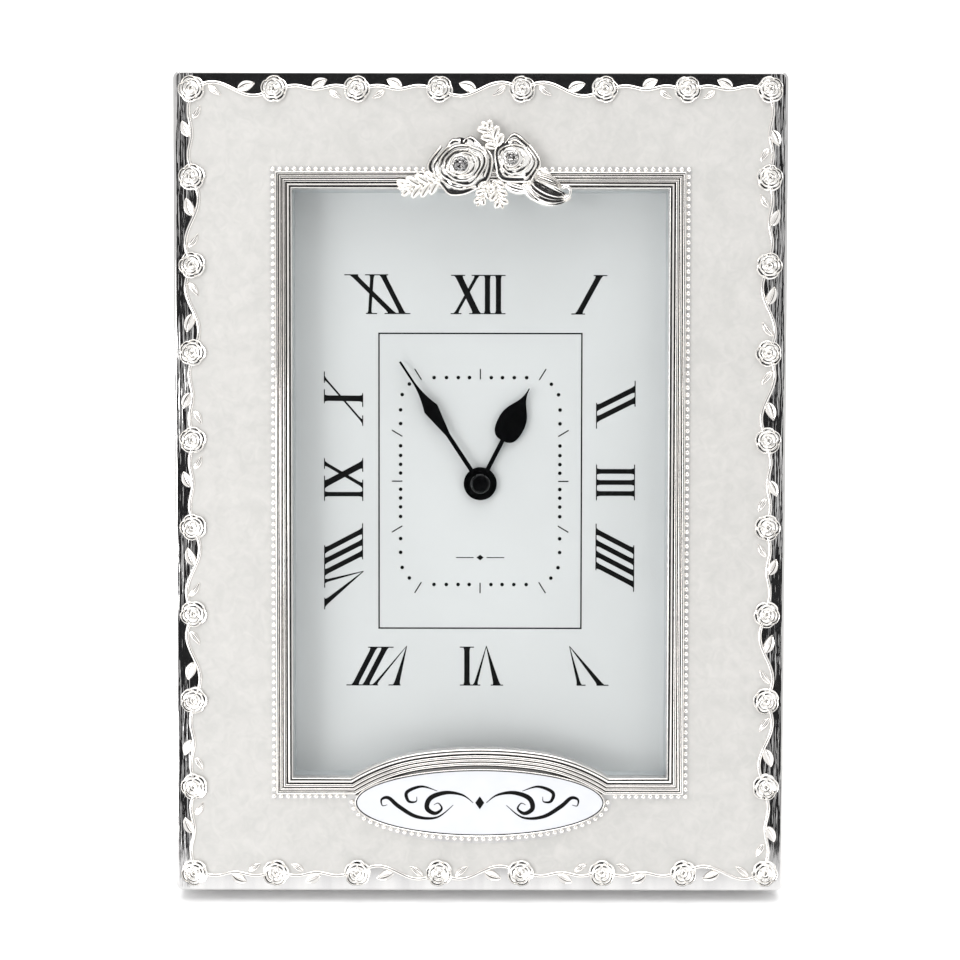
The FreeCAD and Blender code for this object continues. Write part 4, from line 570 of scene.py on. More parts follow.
# Printing ink and the engraved lines filled with it: flat black with a slight gloss
INK = Finish("printing_ink", "#020202", "#050505", 0.5, ior=1.25, grain_size=0.2)
# Flat near-black fill: painted shade in the moulding's grooves and in the gap over the plaque, where the real
# plate lies in shadow; also the dark line of the plaque's seam
DARK_JOINT_AND_PAINTED_SHADE = Finish("dark_joint_and_painted_shade", "#0b0a0a", "#161413", 0.35, ior=1.4, mottle_size=4.0)
# Coated card: matt, cool grey-white, with a fine tooth
CARD = Finish("coated_card", "#e0e0e0", "#dcdcdc", 0.62, mottle_size=30.0, grain_size=0.15, grain=0.08)
# Moulded polystyrene tray: matt grey
TRAY = Finish("moulded_tray", "#c6c9cb", "#bec1c3", 0.5, grain_size=0.3, grain_depth=0.01)
# Black lacquer sprayed on pressed brass hands: smooth, with a soft gloss
LACQUER = Finish("hand_lacquer", "#020203", "#050506", 0.2, ior=1.4, spread=0.04, mottle_size=3.0)
# Float glass: flat and clear, with a faint mirror image
GLASS = ClearGlass("float_glass", "#fdfefe", "#ffffff", 0.0, ior=1.52)
# Flocked velvet: short fibres that lie in drifts and catch light at the edges
VELVET = Finish("flocked_velvet", "#17171b", "#222228", 0.9, grain_size=0.35, grain_depth=0.12, grain=0.9,
                mottle_size=9.0, sheen=0.6)
# Nickel-plated steel pressings, brushed before plating: soft streaks along them
NICKEL = Finish("nickel_plate", "#b9b6af", "#a5a29b", 0.28, 1.0, mottle_size=4.0, stretch=(6.0, 1.0, 1.0))
# Moulded ABS with a spark-eroded grain: dull black
BLACK_ABS = Finish("moulded_black", "#1b1b1d", "#222224", 0.48, grain_size=0.45, grain_depth=0.03, grain=0.5)
# Moulded acetal wheels: waxy, off-white
ACETAL = Finish("acetal", "#e4e0d4", "#d8d4c8", 0.4, mottle_size=3.0)
# Brass turned from bar: fine rings that soften the shine
BRASS = Finish("turned_brass", "#c9a65a", "#b8954b", 0.24, 1.0, mottle_size=2.0, grain_size=0.2)
# Sintered ferrite: dark, slightly speckled
FERRITE = Finish("magnet_ferrite", "#2c2b2d", "#38373a", 0.45, mottle_size=1.5)
# Annealed iron stamping: grey with a dull shine
SOFT_IRON = Finish("soft_iron", "#8f8d89", "#7c7a76", 0.36, 1.0, mottle_size=3.0)
# Enamelled copper wire, wound in fine turns: drawn coarser than real so that the turns show
COPPER = Finish("enamelled_copper", "#b4622e", "#93481f", 0.25, 1.0, grain_size=0.12, grain_depth=0.03,
                grain=0.9, stretch=(0.3, 8.0, 8.0), coat=0.4)
# Moulded red nylon of the bobbin
BOBBIN = Finish("bobbin_nylon", "#b83226", "#a42b20", 0.42, mottle_size=3.0)
# Glass-fibre laminate under green solder resist: the weave shows faintly
CIRCUIT = Finish("circuit_laminate", "#1f5a35", "#2b6c42", 0.35, grain_size=0.8, grain=0.4, coat=0.3)
# Drop of black resin over the chip: smooth
RESIN = Finish("black_resin", "#0d0d0e", "#161617", 0.2, mottle_size=2.0)
# Deep-drawn tinned can of the resonator
CAN = Finish("drawn_can", "#b7b9bb", "#a3a5a8", 0.25, 1.0, mottle_size=2.0)
# Printed film shrunk over a nickel-plated can
JACKET = CellSleeve("battery_sleeve", "#2d5f9e", "#27548d", 0.3, mottle_size=8.0, grain_size=6.0, grain=0.1,
                    coat=0.3)
# Plated spring steel of the contacts
CONTACT = Finish("spring_steel", "#c4c1ba", "#b0ada6", 0.26, 1.0, mottle_size=2.0)
# Moulded nitrile rubber: dead matt
RUBBER = Finish("nitrile_rubber", "#202021", "#29292a", 0.7, mottle_size=3.0, grain_size=0.3, grain=0.5)
# Lead crystal: strong mirror flashes from its cut faces
CRYSTAL = CutCrystal("cut_crystal", "#fafafa", "#fafafa", 0.0, ior=1.56)
# Vacuum-coated foil in the seat: mirrors the light back through the crystal
FOIL = Finish("crystal_foil", "#b9b8ba", "#4c4b4e", 0.05, 1.0, spread=0.02, mottle_size=1.2)
# Matt background paper and the black cloth of a studio flag
PAPER = Finish("studio_paper", "#fdfdfd", "#fbfbfb", 0.85, mottle_size=400.0, grain=0.0)
FLAG_CLOTH = Finish("studio_flag_cloth", "#101012", "#161618", 0.9, mottle_size=60.0, grain=0.0)


def dress(finish: Finish, *nodes: str, bevel: float = 0.0) -> None:
    """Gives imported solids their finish.

    Args:
        finish: What they are made of.
        *nodes: Names of the solids.
        bevel: Width of the rounding on their edges in millimetres, or zero.
    """
    for node in nodes:
        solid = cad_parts[node]
        solid.data.materials.clear()
        solid.data.materials.append(finish.make())
        if bevel:
            rounding = solid.modifiers.new("edge_rounding", "BEVEL")
            rounding.width = bevel * MM
            rounding.segments = 2
            rounding.limit_method = "ANGLE"
            rounding.harden_normals = False
        LOG.info("dressed %s in %s", node, finish.name)


def show(name: str, shell: Shell, finish: Finish, replaces: str = "",
         sharp: float = 40.0) -> None:
    """Turns a shell into a piece of the clock.

    Args:
        name: Name of the piece.
        shell: Its points and faces on the face.
        finish: What it is made of.
        replaces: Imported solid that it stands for, or nothing.
        sharp: Angle in degrees over which an edge stays crisp.
    """
    mesh = bpy.data.meshes.new(name)
    mesh.from_pydata([(x * MM, y * MM, z * MM) for x, y, z in shell.points], [], shell.faces)
    work = bmesh.new()
    work.from_mesh(mesh)
    bmesh.ops.remove_doubles(work, verts=work.verts, dist=MM * MM)
    bmesh.ops.dissolve_degenerate(work, edges=work.edges, dist=MM * MM)
    bmesh.ops.recalc_face_normals(work, faces=work.faces)
    work.to_mesh(mesh)
    work.free()
    mesh.transform(face_to_world())
    mesh.polygons.foreach_set("use_smooth", [True] * len(mesh.polygons))
    mesh.set_sharp_from_angle(angle=math.radians(sharp))
    mesh.materials.append(finish.make())
    piece = bpy.data.objects.new(name, mesh)
    bpy.context.scene.collection.objects.link(piece)
    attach(piece, ROOT_BODY)
    if replaces:
        dress(finish, replaces)
        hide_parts(replaces)
    LOG.info("built %s with %d faces", name, len(mesh.polygons))


@dataclass(frozen=True)
class Rim:
    """Section of a petal: outer foot, rolled rim, steep inner wall, then a shallow hollow.

    thick is the rim's width, reach the width of the hollow, depth how far that lies under the rim and lip how
    far the rim's edges are rounded. The section is made of shares of them.
    """

    thick: float
    reach: float
    depth: float
    lip: float = 0.1

    def add(self, shell: Shell, line: Sequence[Flat], heights: Sequence[float], centre: Flat,
            foot: float) -> None:
        """Adds one petal.

        Args:
            shell: Where the petal goes.
            line: Points along its rim.
            heights: Height of the rim at each point.
            centre: Point that the petal leans round.
            foot: Height of its foot.
        """
        rows = []
        for (x, y), top in zip(line, heights):
            dx, dy = centre[0] - x, centre[1] - y
            length = math.hypot(dx, dy) or 1.0
            reach = min(self.reach, length * 0.85)
            floor = max(top - self.depth, foot + self.lip / 2)
            drop = top - foot
            section = ((self.thick * 1.3, foot), (self.thick * 0.4, top - drop * 0.6),
                       (0.0, top - drop * 0.18), (self.thick * 0.2, top),
                       (self.thick * 0.7, top - self.lip / 5), (self.thick, top - self.lip),
                       (self.thick * 1.25, floor + self.lip),
                       (self.thick * 1.25 + reach * 0.3, floor + self.lip * 0.4),
                       (reach + self.thick, floor + self.depth * 0.85), (reach + self.thick, foot))
            rows.append([(x + dx / length * inset, y + dy / length * inset, level)
                         for inset, level in section])
        shell.skin(rows)


@dataclass
class Petals:
    """Petals of one height, each along its own rim line, with one end tucked under the next."""

    lines: Sequence[Sequence[Flat]]
    top: float
    foot: float
    rim: Rim
    sag: float = 0.3
    tilt: float = 0.3
    steps: int = 5

    def add(self, shell: Shell, centre: Flat) -> None:
        """Adds the petals, which lean round a centre.

        Args:
            shell: Shell that takes them in.
            centre: Point that they lean round.
        """
        for controls in self.lines:
            line = smooth_line(controls, self.steps)
            heights = [self.top - self.sag * (2 * t - 1) ** 2 + self.tilt * (t - 1)
                       for t in between(0.0, 1.0, len(line))]
            self.rim.add(shell, line, heights, centre, self.foot)


class Blade(Enum):
    """Sections of a leaf from its middle out, as pairs of share of half width and share of height."""

    DISHED = ((0.0, 0.72), (0.1, 0.66), (0.22, 0.36), (0.55, 0.42), (0.74, 0.86), (0.86, 1.0), (0.96, 0.7),
              (1.0, 0.0))
    PLUMP = ((0.0, 0.5), (0.14, 0.72), (0.4, 1.0), (0.7, 0.9), (0.9, 0.55), (1.0, 0.0))
    RIBBED = ((0.0, 1.0), (0.08, 0.8), (0.2, 0.55), (0.34, 0.86), (0.48, 0.52), (0.64, 0.8), (0.78, 0.45),
              (0.9, 0.6), (1.0, 0.0))


@dataclass
class Leaf:
    """Leaf along a bent middle line, with a chosen section.

    peak sets where it is widest, taper how blunt it ends and low_share how high it is there.
    """

    base: Flat
    tip: Flat
    width: float
    height: float
    foot: float = 0.0
    blade: Blade = Blade.DISHED
    bend: float = 0.0
    peak: float = 0.8
    taper: float = 0.75
    points: int = 25
    low_share: float = 0.25

    def add(self, shell: Shell) -> None:
        """Adds the leaf to a shell.

        Args:
            shell: Shell that takes it in.
        """
        along = (self.tip[0] - self.base[0], self.tip[1] - self.base[1])
        length = math.hypot(*along)
        side = (-along[1] / length, along[0] / length)
        line = []
        for t in between(0.0, 1.0, self.points):
            push = self.bend * 4 * t * (1 - t)
            line.append(tuple(self.base[k] + along[k] * t + side[k] * push for k in (0, 1)))
        section = self.blade.value
        across = [(-share, rise) for share, rise in reversed(section[1:])] + list(section)
        rows = []
        for t, (x, y), (nx, ny) in zip(between(0.0, 1.0, self.points), line, normals(line)):
            swell = math.sin(math.pi * t ** self.peak) ** self.taper if 0 < t < 1 else 0.0
            half = self.width / 2 * swell
            rise = self.height * (self.low_share + (1 - self.low_share) * swell) if 0 < t < 1 else 0.0
            rows.append([(x + nx * half * share, y + ny * half * share, self.foot + rise * part)
                         for share, part in across])
        shell.skin(rows)


@dataclass
class LobedLeaf:
    """Leaf of plump lobes set along a bent midrib, with dark slits between them."""

    base: Flat
    tip: Flat
    width: float
    height: float
    foot: float
    lobes: int = 4
    bend: float = 0.0
    slant: float = 0.3
    lobed_share: float = 0.8
    first_share: float = 0.04
    stagger: float = 0.03
    lobe_root: float = 0.08
    lobe_bend: float = 0.15
    lobe_share: float = 0.95
    narrowest: float = 0.9
    # Share of the midrib where the end lobe starts, and its share of the width
    end_lobe: Flat = (0.62, 0.3)
    # Shares of the width and height that the blade under the lobes has
    under: Flat = (0.62, 0.4)
    under_sink: float = 0.05

    def at(self, share: float, side: float) -> Flat:
        """Place at a share of the midrib and so many half widths beside it.

        Args:
            share: Share of the midrib's length.
            side: Half widths to its left.

        Returns:
            Place on the face.
        """
        along = (self.tip[0] - self.base[0], self.tip[1] - self.base[1])
        length = math.hypot(*along)
        push = self.bend * 4 * share * (1 - share) + side * self.width / 2
        return (self.base[0] + along[0] * share - along[1] / length * push,
                self.base[1] + along[1] * share + along[0] / length * push)

    def add(self, shell: Shell) -> None:
        """Adds the leaf to a shell.

        Args:
            shell: Shell that takes it in.
        """
        length = math.hypot(self.tip[0] - self.base[0], self.tip[1] - self.base[1])
        step = self.lobed_share / self.lobes
        width = max(step * length * self.lobe_share, self.narrowest)
        for side in (1, -1):
            for k in range(self.lobes):
                start = self.first_share + k * step + (self.stagger if side < 0 else 0.0)
                swell = math.sin(math.pi * (0.22 + 0.62 * (start + self.slant) / 1.1))
                end = self.at(min(start + self.slant, 1.0), side * swell)
                Leaf(self.at(start, -self.lobe_root * side), end, width, self.height, self.foot, Blade.PLUMP,
                     -self.lobe_bend * side, peak=1.3, taper=0.5, points=17).add(shell)
        start, share = self.end_lobe
        Leaf(self.at(start, 0.0), self.tip, self.width * share, self.height, self.foot, Blade.PLUMP,
             peak=1.2, taper=0.5, points=17).add(shell)
        share, low = self.under
        Leaf(self.base, self.at(self.lobed_share, 0.0), self.width * share, self.height * low,
             self.foot - self.under_sink, Blade.PLUMP, self.bend, points=15).add(shell)


@dataclass
class Border:
    """Roses on a waving vine round the frame's band."""

    frame_width: float = 149.0
    frame_height: float = 200.0
    inset: float = 4.6
    # Stem of each span: A swings out and in, B out twice, and a small letter runs the span backwards
    short_waves: str = "ABbaABb"
    long_waves: str = "BbaABbaAB"
    big_wave: float = 1.6
    soft_wave: float = 0.8
    stem_width: float = 0.9
    stem_height: float = 0.42
    stem_trim: float = 2.1
    rose_radius: float = 3.3
    rose_foot: float = 0.3
    # Width of the petals' rims and depth of the hollows behind them
    rose_rim: Flat = (0.26, 0.36)
    # Turn of every second rose, and what each of five in a row adds
    rose_turns: Flat = (36.0, 17.0)
    # Share of the radius, petals, turn, height of the rims, height of the feet, width of the hollows
    rose_rings: tuple[tuple[float, int, float, float, float, float], ...] = (
        (1.0, 5, 0.0, 0.72, 0.0, 0.9), (0.76, 4, 30.0, 1.04, 0.2, 0.75), (0.52, 3, 75.0, 1.34, 0.4, 0.6),
        (0.28, 2, 10.0, 1.46, 0.6, 0.4))
    # Base and tip of each wave's leaves, laid out on a span of this length
    span_length: float = 19.97
    outer_leaves: dict[str, tuple[Flat, Flat]] = field(default_factory=lambda: {
        "A": ((11.2, -0.1), (15.3, 1.4)), "B": ((9.2, 0.45), (12.8, 2.3))})
    inner_leaves: dict[str, tuple[Flat, Flat]] = field(default_factory=lambda: {
        "A": ((4.0, 1.0), (7.2, -1.5)), "B": ((13.3, -0.2), (16.3, -2.1))})
    # Width, height, section and bend of the outer and the inner leaf
    outer_leaf: tuple[float, float, Blade, float] = (2.5, 0.55, Blade.DISHED, 0.15)
    inner_leaf: tuple[float, float, Blade, float] = (1.7, 0.5, Blade.PLUMP, -0.2)

    def spans(self) -> list[tuple[Flat, float, float, str]]:
        """Start, direction, length and wave of each span, clockwise from the top left.

        Returns:
            One row for each span.
        """
        half, low, high = self.frame_width / 2 - self.inset, self.inset, self.frame_height - self.inset
        sides = (((-half, high), 0.0, 2 * half, self.short_waves),
                 ((half, high), -90.0, high - low, self.long_waves),
                 ((half, low), 180.0, 2 * half, self.short_waves),
                 ((-half, low), 90.0, high - low, self.long_waves))
        spans = []
        for start, direction, length, waves in sides:
            step = length / len(waves)
            spans.extend((polar(start, step * k, direction), direction, step, wave)
                         for k, wave in enumerate(waves))
        return spans

    def offset(self, wave: str, share: float) -> float:
        """How far out the stem lies at a share of its span.

        Args:
            wave: Letter of the wave; a small letter runs it backwards.
            share: Share of the span's length.

        Returns:
            Distance in millimetres.
        """
        share = 1 - share if wave.islower() else share
        if wave.upper() == "A":
            return self.big_wave * math.sin(2 * math.pi * share)
        return self.soft_wave * (1 - math.cos(4 * math.pi * share)) / 2

    def stem(self, length: float, wave: str) -> Shell:
        """Half-round stem between two roses.

        Args:
            length: Length of the span.
            wave: Letter of its wave.

        Returns:
            Shell of the stem, which runs from the origin along x.
        """
        trim = self.stem_trim / length
        shares = between(trim, 1 - trim, 30)
        line = [(share * length, self.offset(wave, share)) for share in shares]
        shell = Shell()
        rows = []
        for (x, y), (nx, ny) in zip(line, normals(line)):
            row = []
            for angle in between(0.0, 180.0, 9):
                side, up = polar(ORIGIN, 1.0, angle)
                half = side * self.stem_width / 2
                row.append((x + nx * half, y + ny * half, up * self.stem_height))
            rows.append(row)
        shell.skin(rows)
        return shell

    def sprig(self, length: float, wave: str) -> Shell:
        """Stem and its two leaves along one span.

        Args:
            length: Length of the span.
            wave: Letter of its wave.

        Returns:
            Shell of them all, which runs from the origin along x.
        """
        shell = self.stem(length, wave)
        scale = length / self.span_length

        def laid(place: Flat) -> Flat:
            """Measured place on this span, turned round where the wave is."""
            x = place[0] * scale
            return (length - x if wave.islower() else x, place[1])

        for places, (width, height, blade, bend) in ((self.outer_leaves, self.outer_leaf),
                                                     (self.inner_leaves, self.inner_leaf)):
            base, tip = (laid(place) for place in places[wave.upper()])
            Leaf(base, tip, width, height, blade=blade, bend=-bend if wave.islower() else bend).add(shell)
        return shell

    def rose(self) -> Shell:
        """Open rose of rings of rolled petals round a bud.

        Returns:
            Shell of the rose, round the origin.
        """
        shell = Shell()
        shell.prism(circle(ORIGIN, self.rose_radius * 0.8, 24), 0.0, self.rose_foot)
        width, depth = self.rose_rim
        for share, count, turn, height, low, reach in self.rose_rings:
            radius, step = self.rose_radius * share, 360 / count
            lines = []
            for start in (turn + step * k for k in range(count)):
                corners = ((0.8, start - 8), (0.99, start + step * 0.25), (1.0, start + step * 0.7),
                           (0.92, start + step + 6))
                lines.append([polar(ORIGIN, radius * part, angle) for part, angle in corners])
            petals = Petals(lines, height, low, Rim(width, reach, depth), sag=0.14, tilt=0.24, steps=3)
            petals.add(shell, ORIGIN)
        return shell

    def build(self) -> None:
        """Shows the roses, each turned another way, and the vine."""
        roses, vine, rose = Shell(), Shell(), self.rose()
        second, fifth = self.rose_turns
        for index, (place, direction, length, wave) in enumerate(self.spans()):
            roses.join(rose, place, second * (index % 2) + fifth * (index % 5))
            vine.join(self.sprig(length, wave), place, direction)
        show("border_rose_flowers", roses, PLATE, "border_roses", sharp=50.0)
        show("border_vine_sprigs", vine, REED_PLATE, "border_vine", sharp=50.0)


@dataclass
class Arch:
    """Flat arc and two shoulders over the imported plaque, which the moulding follows."""

    half_height: float = 8.2
    centre_height: float = 22.2
    flat_radius: float = 99.4
    flat_angle: float = 7.8
    shoulder_radius: float = 40.4

    def centres(self) -> tuple[Flat, Flat]:
        """Centre of the flat arc and of the right shoulder."""
        flat = (0.0, self.centre_height + self.half_height - self.flat_radius)
        return flat, polar(flat, self.flat_radius - self.shoulder_radius, 90 - self.flat_angle)


@dataclass
class Window:
    """Reeded moulding round the window, arched over the plaque."""

    width: float = 91.3
    height: float = 143.3
    centre_height: float = 99.8
    moulding_width: float = 4.05
    moulding_base: float = 0.9
    # From the opening out
    reed_widths: tuple[float, ...] = (1.35, 1.0, 0.85, 0.85)
    groove_widths: tuple[float, ...] = (0.32, 0.2, 0.2)
    reed_rise: float = 0.28
    reed_foot: float = 0.22
    reed_dip: float = 0.25
    wall_share: float = 0.7
    fill_height: float = 0.16
    fill_depth: float = 0.3
    fill_lap: float = 0.04
    gap_fill: float = 0.34
    gap_lap: float = 0.05
    plaque_gap: float = 0.85
    arch: Arch = field(default_factory=Arch)

    def outline(self, grow: float) -> list[Flat]:
        """Window outline grown away from the opening.

        Args:
            grow: How far it is grown.

        Returns:
            Closed outline, anticlockwise from where the arch meets the foot on the right.
        """
        half = self.width / 2 + grow
        top = self.centre_height + self.height / 2 + grow
        foot = self.centre_height - self.height / 2 - grow
        gap = self.plaque_gap + self.moulding_width - grow
        flat_centre, (x, y) = self.arch.centres()
        radius, turn = self.arch.shoulder_radius + gap, 90 - self.arch.flat_angle
        start = math.degrees(math.asin((foot - y) / radius))
        kink = polar((x, y), radius, start)[0]
        points = [(kink, foot), (half, foot), (half, top), (-half, top), (-half, foot)]
        points.extend(arc((-x, y), radius, 180 - start, 180 - turn, 36))
        points.extend(arc(flat_centre, self.arch.flat_radius + gap, 180 - turn, turn, 24)[1:-1])
        points.extend(arc((x, y), radius, turn, start, 36)[:-1])
        return points

    def reeds(self) -> list[tuple[float, float]]:
        """Where each reed starts and ends across the moulding.

        Returns:
            One pair for each reed, from the opening out.
        """
        edges, start = [], 0.0
        trims = (0.0, *self.groove_widths, 0.0)
        for index, width in enumerate(self.reed_widths):
            edges.append((start + trims[index] / 2, start + width - trims[index + 1] / 2))
            start += width
        return edges

    def fill(self) -> Shell:
        """Near-black fill in the grooves and in the gap over the plaque: painted shade, standing in for the
        shadow that lies there.

        Returns:
            Shell of the painted shade.
        """
        shell, high = Shell(), self.moulding_base + self.fill_height
        low = high - self.fill_depth
        reeds = self.reeds()
        for (_, start), (end, _) in zip(reeds, reeds[1:]):
            near, far = start - self.fill_lap, end + self.fill_lap
            shell.sweep(self.outline, ((near, low), (near, high), (far, high), (far, low)))
        near, far = -self.gap_lap, self.gap_fill
        shell.sweep(lambda reach: self.outline(self.moulding_width + reach)[5:],
                    ((near, 0.0), (near, low), (far, low), (far, 0.0)), ring=False)
        return shell

    def build(self) -> None:
        """Shows the moulding as round reeds, with painted shade in the grooves between them."""
        wall = self.moulding_base * self.wall_share
        profile = [(0.0, 0.0), (0.0, wall)]
        for start, end in self.reeds():
            for angle in between(172.0, 8.0, 11):
                across, up = polar(ORIGIN, 1.0, angle)
                height = self.moulding_base + self.reed_foot + self.reed_rise * up
                profile.append(((start + end + across * (end - start)) / 2,
                                height - self.reed_dip * (1 - up) ** 3))
        profile.extend([(self.moulding_width, wall), (self.moulding_width, 0.0)])
        shell = Shell()
        shell.sweep(self.outline, profile)
        show("window_reeds", shell, REED_PLATE, "window_moulding", sharp=50.0)
        show("groove_painted_shade", self.fill(), DARK_JOINT_AND_PAINTED_SHADE)


@dataclass
class Ellipse:
    """Edge of the plaque's white plate."""

    half_length: float = 30.2
    half_height: float = 8.0
    centre_height: float = 22.05

    def edge(self, grow: float, start: float, end: float, count: int) -> list[Flat]:
        """Points from one angle to another.

        Args:
            grow: How far the points are moved out of the edge.
            start: First angle in degrees, counted from the right end.
            end: Last angle in degrees.
            count: Number of points.

        Returns:
            Points on the face.
        """
        points = []
        for x, y in arc(ORIGIN, 1.0, start, end, count):
            nx, ny = x / self.half_length, y / self.half_height
            out = grow / math.hypot(nx, ny)
            points.append((self.half_length * x + nx * out,
                           self.centre_height + self.half_height * y + ny * out))
        return points

    def outline(self, grow: float) -> list[Flat]:
        """Closed outline grown all round."""
        return self.edge(grow, 0.0, 357.0, 120)


@dataclass
class Beads:
    """Half-round beads outside the moulding and under the plaque."""

    diameter: float = 1.3
    pitch: float = 1.75
    rim_gap: float = 1.1
    row_end: float = 33.15
    window: Window = field(default_factory=Window)
    ellipse: Ellipse = field(default_factory=Ellipse)

    def places(self) -> list[Flat]:
        """Middle of every bead.

        Returns:
            Places on the face.
        """
        out = self.window.moulding_width + self.diameter / 2
        half = self.window.width / 2 + out
        top = self.window.centre_height + self.window.height / 2 + out
        foot = self.window.centre_height - self.window.height / 2 - out
        corners = [(-self.row_end, foot), (-half, foot), (-half, top), (half, top), (half, foot),
                   (self.row_end, foot)]
        under = self.ellipse.edge(self.rim_gap, 180.0, 360.0, 241)
        rows = [place for side in zip(corners, corners[1:]) for place in self.spaced(side)[:-1]]
        return rows + [corners[-1]] + self.spaced(under)

    def spaced(self, line: Sequence[Flat]) -> list[Flat]:
        """Evenly spaced places along a bent line, with one at each end.

        Args:
            line: Points of the line.

        Returns:
            The places.
        """
        lengths = [math.dist(a, b) for a, b in zip(line, line[1:])]
        count = round(sum(lengths) / self.pitch)
        step, result, walked, index = sum(lengths) / count, [], 0.0, 0
        for k in range(count + 1):
            goal = min(k * step, sum(lengths))
            while index < len(lengths) - 1 and walked + lengths[index] < goal:
                walked += lengths[index]
                index += 1
            part = (goal - walked) / lengths[index]
            (ax, ay), (bx, by) = line[index], line[index + 1]
            result.append((ax + (bx - ax) * part, ay + (by - ay) * part))
        return result

    def build(self) -> None:
        """Shows the beads."""
        rows = []
        for level in (-10.0, 15.0, 35.0, 55.0, 74.0):
            across, up = polar(ORIGIN, self.diameter / 2, level)
            rows.append([(x, y, up) for x, y in circle(ORIGIN, across, 12)])
        bead, shell = Shell(), Shell()
        bead.skin(rows)
        for place in self.places():
            shell.join(bead, place)
        show("bead_borders", shell, BEAD_PLATE, "bead_rows", sharp=70.0)


@dataclass
class Plaque:
    """Oval dish with its white plate, and a calligraphic scroll drawn on it."""

    ellipse: Ellipse = field(default_factory=Ellipse)
    rim_width: float = 0.42
    rim_height: float = 1.3
    # Height of the rim's outer wall, and of the middle of its roll
    rim_shoulder: Flat = (0.85, 0.88)
    plate_top: float = 1.0
    plate_lap: float = 0.01
    ink_height: float = 0.03
    ink_step: float = 0.001
    stroke_end: float = 0.07
    # Half width and half height
    diamond: Flat = (1.1, 1.6)
    seam_width: float = 0.2
    seam_lap: float = 0.03
    seam_depth: float = 0.1
    # Points of each pen stroke from the plate's middle, and its greatest width
    scrolls: tuple[tuple[tuple[Flat, ...], float], ...] = (
        (((1.6, 0.0), (4.2, 1.9), (8.2, 2.5), (12.0, 1.2), (12.9, -1.3), (11.0, -2.6), (9.3, -1.5),
          (10.1, -0.1), (11.2, -0.5)), 1.05),
        (((6.5, -0.6), (10.5, -3.6), (15.5, -3.4), (19.8, -0.9), (22.3, 1.2), (24.0, 0.8), (23.8, -0.7),
          (22.6, -0.5)), 0.85),
        (((10.4, 2.9), (14.2, 4.0), (17.8, 2.6), (17.4, 0.4), (15.6, 0.3), (15.4, 1.5)), 0.7),
    )

    def stroke(self, shell: Shell, controls: Sequence[Flat], width: float, level: float) -> None:
        """Pen stroke that swells in the middle and thins to its ends.

        Args:
            shell: Shell that takes it in.
            controls: Points that the pen passes through.
            width: Its greatest width.
            level: Height of its ink.
        """
        line = smooth_line(controls, 9)
        last = len(line) - 1
        left, right = [], []
        for index, ((x, y), (nx, ny)) in enumerate(zip(line, normals(line))):
            half = self.stroke_end + width / 2 * math.sin(math.pi * (index / last) ** 0.8) ** 2
            left.append((x + nx * half, y + ny * half))
            right.append((x - nx * half, y - ny * half))
        rows = [[(*a, level), (*a, self.plate_top), (*b, self.plate_top), (*b, level)]
                for a, b in zip(left, right)]
        shell.skin(rows)

    def rim(self) -> Shell:
        """Rolled rim with a plain wall outside.

        Returns:
            Shell of the rim.
        """
        wall, foot = self.rim_shoulder
        profile = [(self.rim_width, 0.0), (self.rim_width, wall)]
        for across, up in arc(ORIGIN, 1.0, 0.0, 180.0, 9):
            profile.append((self.rim_width + (across - 1) * self.rim_width / 2,
                            foot + (self.rim_height - foot) * up))
        profile.append((0.0, 0.0))
        shell = Shell()
        shell.sweep(self.ellipse.outline, profile)
        return shell

    def seam(self) -> Shell:
        """Dark line where the plate meets the rim.

        Returns:
            Shell of the line.
        """
        near, far = self.seam_lap, -self.seam_width
        high = self.plate_top + self.ink_height
        low = high - self.seam_depth
        shell = Shell()
        shell.sweep(self.ellipse.outline, ((near, low), (near, high), (far, high), (far, low)))
        return shell

    def scroll(self) -> Shell:
        """Pen strokes to either side of a diamond.

        Returns:
            Shell of the ink.
        """
        shell, middle = Shell(), self.ellipse.centre_height
        level = self.plate_top + self.ink_height
        places = [(controls, width, side) for controls, width in self.scrolls for side in (1, -1)]
        for step, (controls, width, side) in enumerate(places, start=1):
            placed = [(side * x, middle + y) for x, y in controls]
            self.stroke(shell, placed, width, level + step * self.ink_step)
        wide, high = self.diamond
        shell.prism([(wide, middle), (0.0, middle + high), (-wide, middle), (0.0, middle - high)],
                    self.plate_top, level)
        return shell

    def build(self) -> None:
        """Shows the rim, the white plate and what is drawn on it."""
        plate = Shell()
        plate.prism(self.ellipse.outline(self.plate_lap), 0.0, self.plate_top)
        show("plaque_rolled_rim", self.rim(), REED_PLATE, "plaque_rim", sharp=50.0)
        show("plaque_enamel_plate", plate, WHITE_ENAMEL, "plaque_plate")
        show("plaque_seam", self.seam(), DARK_JOINT_AND_PAINTED_SHADE)
        show("plaque_scroll", self.scroll(), INK)


# Petals of one ring: top of their rims, foot over the cluster's base, width of their hollows, rim lines
Ring = tuple[float, float, float, tuple[tuple[Flat, ...], ...]]


